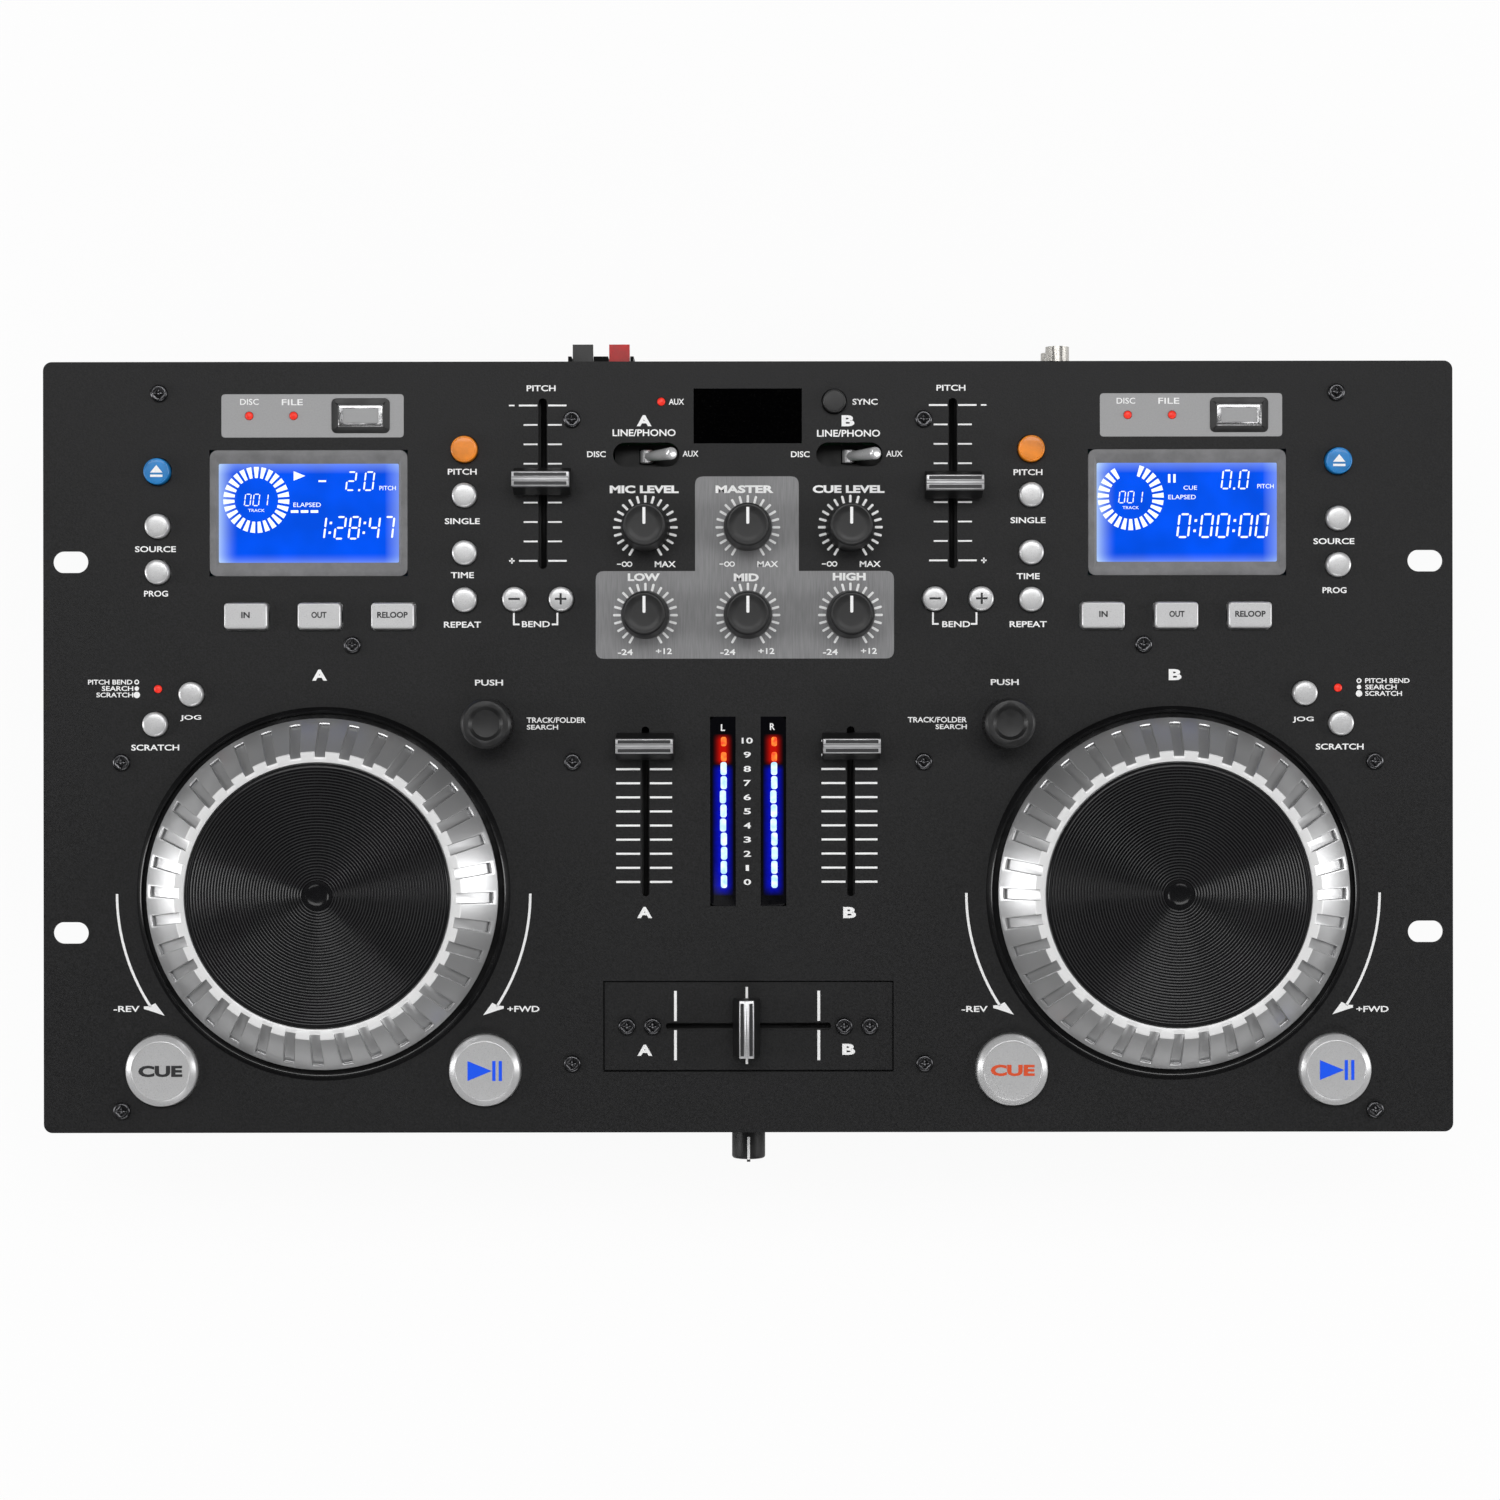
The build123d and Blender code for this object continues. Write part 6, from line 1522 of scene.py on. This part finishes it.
class MetersAndLamps(bpy.types.Operator):
    """Builds the two level meters with their lit bars, and the red lamps."""

    bl_idname = "disc_console.meters_and_lamps"
    bl_label = "Level meters and lamps"

    def execute(self, context):
        replaced = ("display_windows",)
        glass = []
        sunk = 0.12
        for side in (-1, 1):
            pane = slab(8.75, 64.9, WINDOW_FOOT, PANEL_TOP, side * METER_X, CHANNEL_Y)
            shape(pane)
            pick(pane, "EDGE", lambda middle, way: abs(way.z) > 0.9 and side * middle.x > METER_X)
            bpy.ops.mesh.bevel(offset=2.0 * MM, segments=5, affect="EDGES")
            pick(pane, "FACE", lambda middle, normal: normal.z > 0.9)
            bpy.ops.mesh.inset(thickness=0.3 * MM)
            bpy.ops.transform.translate(value=metres(0, 0, -sunk))
            leave_edit()
            glass.append(pane)
        piece(joined(glass), "meter_panes", "meter glass", ROOT, replaced, smooth=30)
        top = PANEL_TOP - sunk
        bar = slab(2.1, 4.45, top, top + 0.06, 0, 0, corner=0.8)
        wobble = (0.15, 0.1, 0.2, 0.12, -0.15, 0.0, -0.2, 0.1, 0.05)
        places = [shift(side * METER_X + wobble[step] + 0.2, -46.1 + SCALE_STEP * step)
                  for side in (-1, 1) for step in range(9)]
        piece(repeated(bar, places), "meter_bars_blue", "bar blue", smooth=0)
        spot = slab(1.9, 3.2, top, top + 0.06, 0, 0, corner=0.7)
        places = [shift(side * METER_X + 0.3, y) for side in (-1, 1) for y in (-3.4, 1.8)]
        piece(repeated(spot, places), "meter_bars_red", "bar red", smooth=0)
        names = [letters(sign, x, y, width, 2.3, top, thick=0.02)
                 for sign, x, y, width in (("L", -8.61, 6.58, 1.4), ("R", 8.33, 6.9, 1.7))]
        piece(joined(names), "meter_letters", "legend", smooth=0)
        lens_top = PANEL_TOP + 0.75
        lens = turned([
            (0, WINDOW_FOOT), (1.35, WINDOW_FOOT), (1.35, lens_top - 0.6), (1.25, lens_top - 0.3),
            (1.0, lens_top - 0.12), (0.6, lens_top - 0.03), (0, lens_top)], 0, 0, 28)
        collar = turned([
            (1.36, PANEL_TOP - 1.0), (1.49, PANEL_TOP - 1.0), (1.49, PANEL_TOP + 0.1),
            (1.45, PANEL_TOP + 0.16), (1.36, PANEL_TOP + 0.1)], 0, 0, 28, closed=True)
        places = [shift(x, y) for x, y in LAMPS]
        piece(repeated(lens, places), "lamp_lenses", "lamp", ROOT, replaced)
        piece(repeated(collar, places), "lamp_collars", "lamp rim")
        return {"FINISHED"}


# ---- Sockets ----------------------------------------------------------------------------------
class Sockets(bpy.types.Operator):
    """Finishes the memory ports, the rear sockets and the front jacks."""

    bl_idname = "disc_console.sockets"
    bl_label = "Sockets"

    def execute(self, context):
        replaced = ("sockets",)
        solids = cad_solids("sockets")
        groups = (
            ("phono_sockets", "phono", lambda m: 100 < m.x < 116),
            ("inlet_pins", "nickel", lambda m: 170 < m.x < 195 and m.y < 123 and m.z < 60),
            ("terminal_block", "trim black", lambda m: m.y > 128 and m.x < 0),
            ("front_jacks", "nickel", lambda m: m.y < -100),
            ("inlet_and_rocker_frame", "trim black", lambda m: m.x > 120 and m.z < 70),
        )
        for name, material, test in groups:
            piece(chosen(solids, test), name, material, ROOT, replaced, smooth=30)
        discard(*solids)
        for deck in DECKS:
            self.memory_port(deck, replaced)
        dressed("power_rocker", "gloss black", slot="trim_black")
        levers = cad_solids("terminal_levers")
        for name, material, test in (("terminal_lever_black", "trim black", lambda m: m.x < -51),
                                     ("terminal_lever_red", "red plastic", lambda m: m.x > -51)):
            lever = chosen(levers, test)
            piece(lever, name, material, "terminal_levers", ("terminal_levers",), smooth=30)
        return {"FINISHED"}

    @staticmethod
    def memory_port(deck, replaced):
        """Black frame, steel shell and tongue of a memory port."""
        x, y = PORT_PLATE[deck] + Vector((16.45, 0))
        top = PANEL_TOP + 0.3
        block = hollow(slab(20.0, 12.0, WINDOW_FOOT, top, x, y, corner=1.8, rim=0.25), 2.0, 9.0, top)
        piece(block, f"port_frame_{deck}", "trim black", ROOT, replaced, "trim_black", 30)
        rim = top - 0.1
        flange = hollow(slab(15.6, 7.6, top - 1.3, rim, x, y, corner=1.0, rim=0.5), 0.7, 0.6, rim)
        rim = top - 0.05
        shell = hollow(slab(13.2, 5.9, 76.5, rim, x, y, corner=0.5), 0.45, 8.6, rim)
        piece(joined([shell, flange]), f"port_shell_{deck}", "chrome", ROOT, replaced, "socket_metal", 30)
        # painted shade: a near-black, non-reflecting floor at the bottom of the shell stands for the shade
        # deep in the port
        floor = slab(12.2, 4.9, 77.5, 79.5, x, y, corner=0.2)
        piece(floor, f"port_painted_shade_floor_{deck}", "window black", ROOT, replaced, smooth=30)
        tongue = slab(11.0, 2.0, 79.0, top - 0.7, x, y + 1.1, corner=0.3, rim=0.15)
        piece(tongue, f"port_tongue_{deck}", "port tongue", ROOT, replaced, smooth=30)
        contact = slab(1.1, 0.12, 79.6, top - 1.2, x, y + 0.06)
        strips = repeated(contact, [shift(dx, 0) for dx in (-3.5, -1.2, 1.2, 3.5)])
        piece(strips, f"port_contacts_{deck}", "nickel", ROOT, replaced, smooth=0)


# ---- Trays, boards and drives -----------------------------------------------------------------
class TraysAndInnerWorks(bpy.types.Operator):
    """Finishes the disc trays, the disc drives and the circuit boards."""

    bl_idname = "disc_console.trays_and_inner_works"
    bl_label = "Trays and inner works"

    def execute(self, context):
        for deck in DECKS:
            dressed(f"disc_tray_{deck}", "trim black", round_edges=0.3, slot="tray_black")
            self.tray_mark(f"disc_tray_{deck}")
        solids = cad_solids("disc_drives")
        groups = (
            ("drive_grommets", "rubber", None, lambda m: m.z < 12),
            ("drive_turntables_and_clamps", "trim black", None, lambda m: m.y < -50),
            ("drive_sleds", "trim black", None, lambda m: m.z < 25),
            ("drive_chassis", "drive steel", "drive_steel", lambda m: True),
        )
        for name, material, slot, test in groups:
            piece(chosen(solids, test), name, material, ROOT, ("disc_drives",), slot, 30)
        solids = cad_solids("circuit_boards")
        groups = (
            ("printed_boards", "board", "board_green", is_board),
            ("board_components", "component black", None, lambda obj: True),
        )
        for name, material, slot, test in groups:
            found = [obj for obj in solids if test(obj)]
            solids = [obj for obj in solids if obj not in found]
            piece(joined(found), name, material, ROOT, ("circuit_boards",), slot, 30)
        return {"FINISHED"}

    @staticmethod
    def tray_mark(node):
        """A small plain disc sign on the tray's front: a ring around a hub."""
        thick = 0.05
        low, _, middle = span(node)
        ring = turned(ring_outline(2.2, 2.8, 0, thick), 0, 0, 40, closed=True)
        hub = turned(ring_outline(0.5, 0.9, 0, thick), 0, 0, 24, closed=True)
        place = shift(middle.x + 55.0, low.y + thick, middle.z) @ spun(90, "X")
        piece(repeated(joined([ring, hub]), [place]), node + "_mark", "dim legend", node, smooth=0)


# ---- Stage ------------------------------------------------------------------------------------
CAMERA_PLACE, CAMERA_ROLL = (0.00065, -0.0011, 1.186), -0.0012  # straight above, in metres
CAMERA_LENS, CAMERA_SENSOR = 77.1, 36.0
SOFTBOXES = (  # name, place and size in metres, power in watts
    ("overhead_softbox", (0.0, 0.62, 1.7), (1.6, 0.5), 12.0),
    ("left_softbox", (-1.35, 0.0, 0.55), (0.4, 1.0), 7.0),
    ("right_softbox", (1.35, 0.04, 0.58), (0.4, 1.0), 7.2),
    ("front_softbox", (0.1, -1.1, 1.0), (1.0, 0.4), 4.0),
)
FLOOR_SEEN, FLOOR_IN_GLOSS = 0.93, 0.30  # glow of the floor for the camera and for reflections
WORLD_DIM, WORLD_SEEN, WORLD_IN_GLOSS = 0.27, 1.0, -0.20  # strengths; the last one is added


class Stage(bpy.types.Operator):
    """Sets up the camera, the soft lamps, the pale floor and the world."""

    bl_idname = "disc_console.stage"
    bl_label = "Stage"

    def execute(self, context):
        scene = bpy.context.scene
        scene.view_settings.view_transform = "Standard"
        deselect()
        bpy.ops.object.camera_add(location=CAMERA_PLACE, rotation=(0, 0, CAMERA_ROLL))
        camera = bpy.context.object
        camera.data.lens, camera.data.sensor_width = CAMERA_LENS, CAMERA_SENSOR
        scene.camera = camera
        self.floor()
        self.world()
        for lamp in SOFTBOXES:
            self.lamp(*lamp)
        return {"FINISHED"}

    @staticmethod
    def lamp(name, place, size, power):
        """A soft rectangular lamp that looks at the middle of the console."""
        deselect()
        bpy.ops.object.light_add(type="AREA", location=place)
        lamp = bpy.context.object
        lamp.name = name
        lamp.data.shape = "RECTANGLE"
        lamp.data.size, lamp.data.size_y = size
        lamp.data.energy = power
        way = Vector((0, 0, 0.08)) - Vector(place)
        lamp.rotation_euler = way.to_track_quat("-Z", "Y").to_euler()

    @staticmethod
    def floor():
        deselect()
        bpy.ops.mesh.primitive_plane_add(size=9.0, location=(0, 0, 0))
        floor = bpy.context.object
        floor.name = floor.data.name = "floor"
        recipe = Recipe("pale floor")
        recipe.set(Base_Color=(0.86, 0.86, 0.86), Roughness=0.9, Specular_IOR_Level=0.1)
        seen = recipe.node("ShaderNodeLightPath", output="Is Camera Ray")
        glossy = recipe.node("ShaderNodeLightPath", output="Is Glossy Ray")
        clear = recipe.node("ShaderNodeLightPath", output="Is Transmission Ray")
        glow = recipe.node("ShaderNodeEmission", {}, {"Color": (1.0, 1.0, 1.0), "Strength": 1.0})
        amount = seen * FLOOR_SEEN + (glossy + clear) * FLOOR_IN_GLOSS
        mix = recipe.node("ShaderNodeMixShader", {}, {0: amount, 2: glow})
        recipe.tree.links.new(recipe.surface.outputs[0], mix.socket.node.inputs[1])
        output = recipe.tree.nodes["Material Output"]
        recipe.tree.links.new(mix.socket, output.inputs["Surface"])
        floor.data.materials.append(recipe.material)

    @staticmethod
    def world():
        """White where the camera looks past the floor, dimmer where gloss looks up."""
        world = bpy.data.worlds.new("studio")
        bpy.context.scene.world = world
        world.use_nodes = True
        nodes, links = world.node_tree.nodes, world.node_tree.links
        background = nodes["Background"]
        path = nodes.new("ShaderNodeLightPath")
        strength = nodes.new("ShaderNodeMapRange")
        strength.inputs["To Min"].default_value = WORLD_DIM
        strength.inputs["To Max"].default_value = WORLD_SEEN
        gloss = nodes.new("ShaderNodeMath")
        gloss.operation = "MULTIPLY_ADD"
        gloss.inputs[1].default_value = WORLD_IN_GLOSS
        links.new(path.outputs["Is Camera Ray"], strength.inputs["Value"])
        links.new(path.outputs["Is Glossy Ray"], gloss.inputs[0])
        links.new(strength.outputs[0], gloss.inputs[2])
        links.new(gloss.outputs[0], background.inputs["Strength"])
        background.inputs["Color"].default_value = (1.0, 1.0, 1.0, 1.0)


# ---- Panel and registration -------------------------------------------------------------------
STEPS = (
    PanelAndCase, PanelPrints, JogBezels, JogWheels, RoundButtons, CueButtons, LoopKeys, Knobs, Toggles,
    Faders, Displays, MetersAndLamps, Sockets, TraysAndInnerWorks, Stage,
)


class ConsoleSidebar(bpy.types.Panel):
    """Sidebar panel with the console's options and the steps that build it."""

    bl_idname = "VIEW3D_PT_disc_console"
    bl_label = "Dual Disc Console"
    bl_space_type = "VIEW_3D"
    bl_region_type = "UI"
    bl_category = "Console"

    def draw(self, context):
        for options in (context.scene.console_sizes, context.scene.console_colours):
            for name in options.bl_rna.properties.keys():
                if name not in ("rna_type", "name"):
                    self.layout.prop(options, name)
        for step in STEPS:
            self.layout.operator(step.bl_idname)


CLASSES = (ConsoleSizes, ConsoleColours) + STEPS + (ConsoleSidebar,)


def register():
    for item in CLASSES:
        bpy.utils.register_class(item)
    bpy.types.Scene.console_sizes = PointerProperty(type=ConsoleSizes)
    bpy.types.Scene.console_colours = PointerProperty(type=ConsoleColours)


def unregister():
    del bpy.types.Scene.console_colours
    del bpy.types.Scene.console_sizes
    for item in reversed(CLASSES):
        bpy.utils.unregister_class(item)


def main():
    """Registers the add-on and builds every piece in order."""
    register()
    for step in STEPS:
        group, name = step.bl_idname.split(".")
        getattr(getattr(bpy.ops, group), name)()


if __name__ == "__main__":
    main()
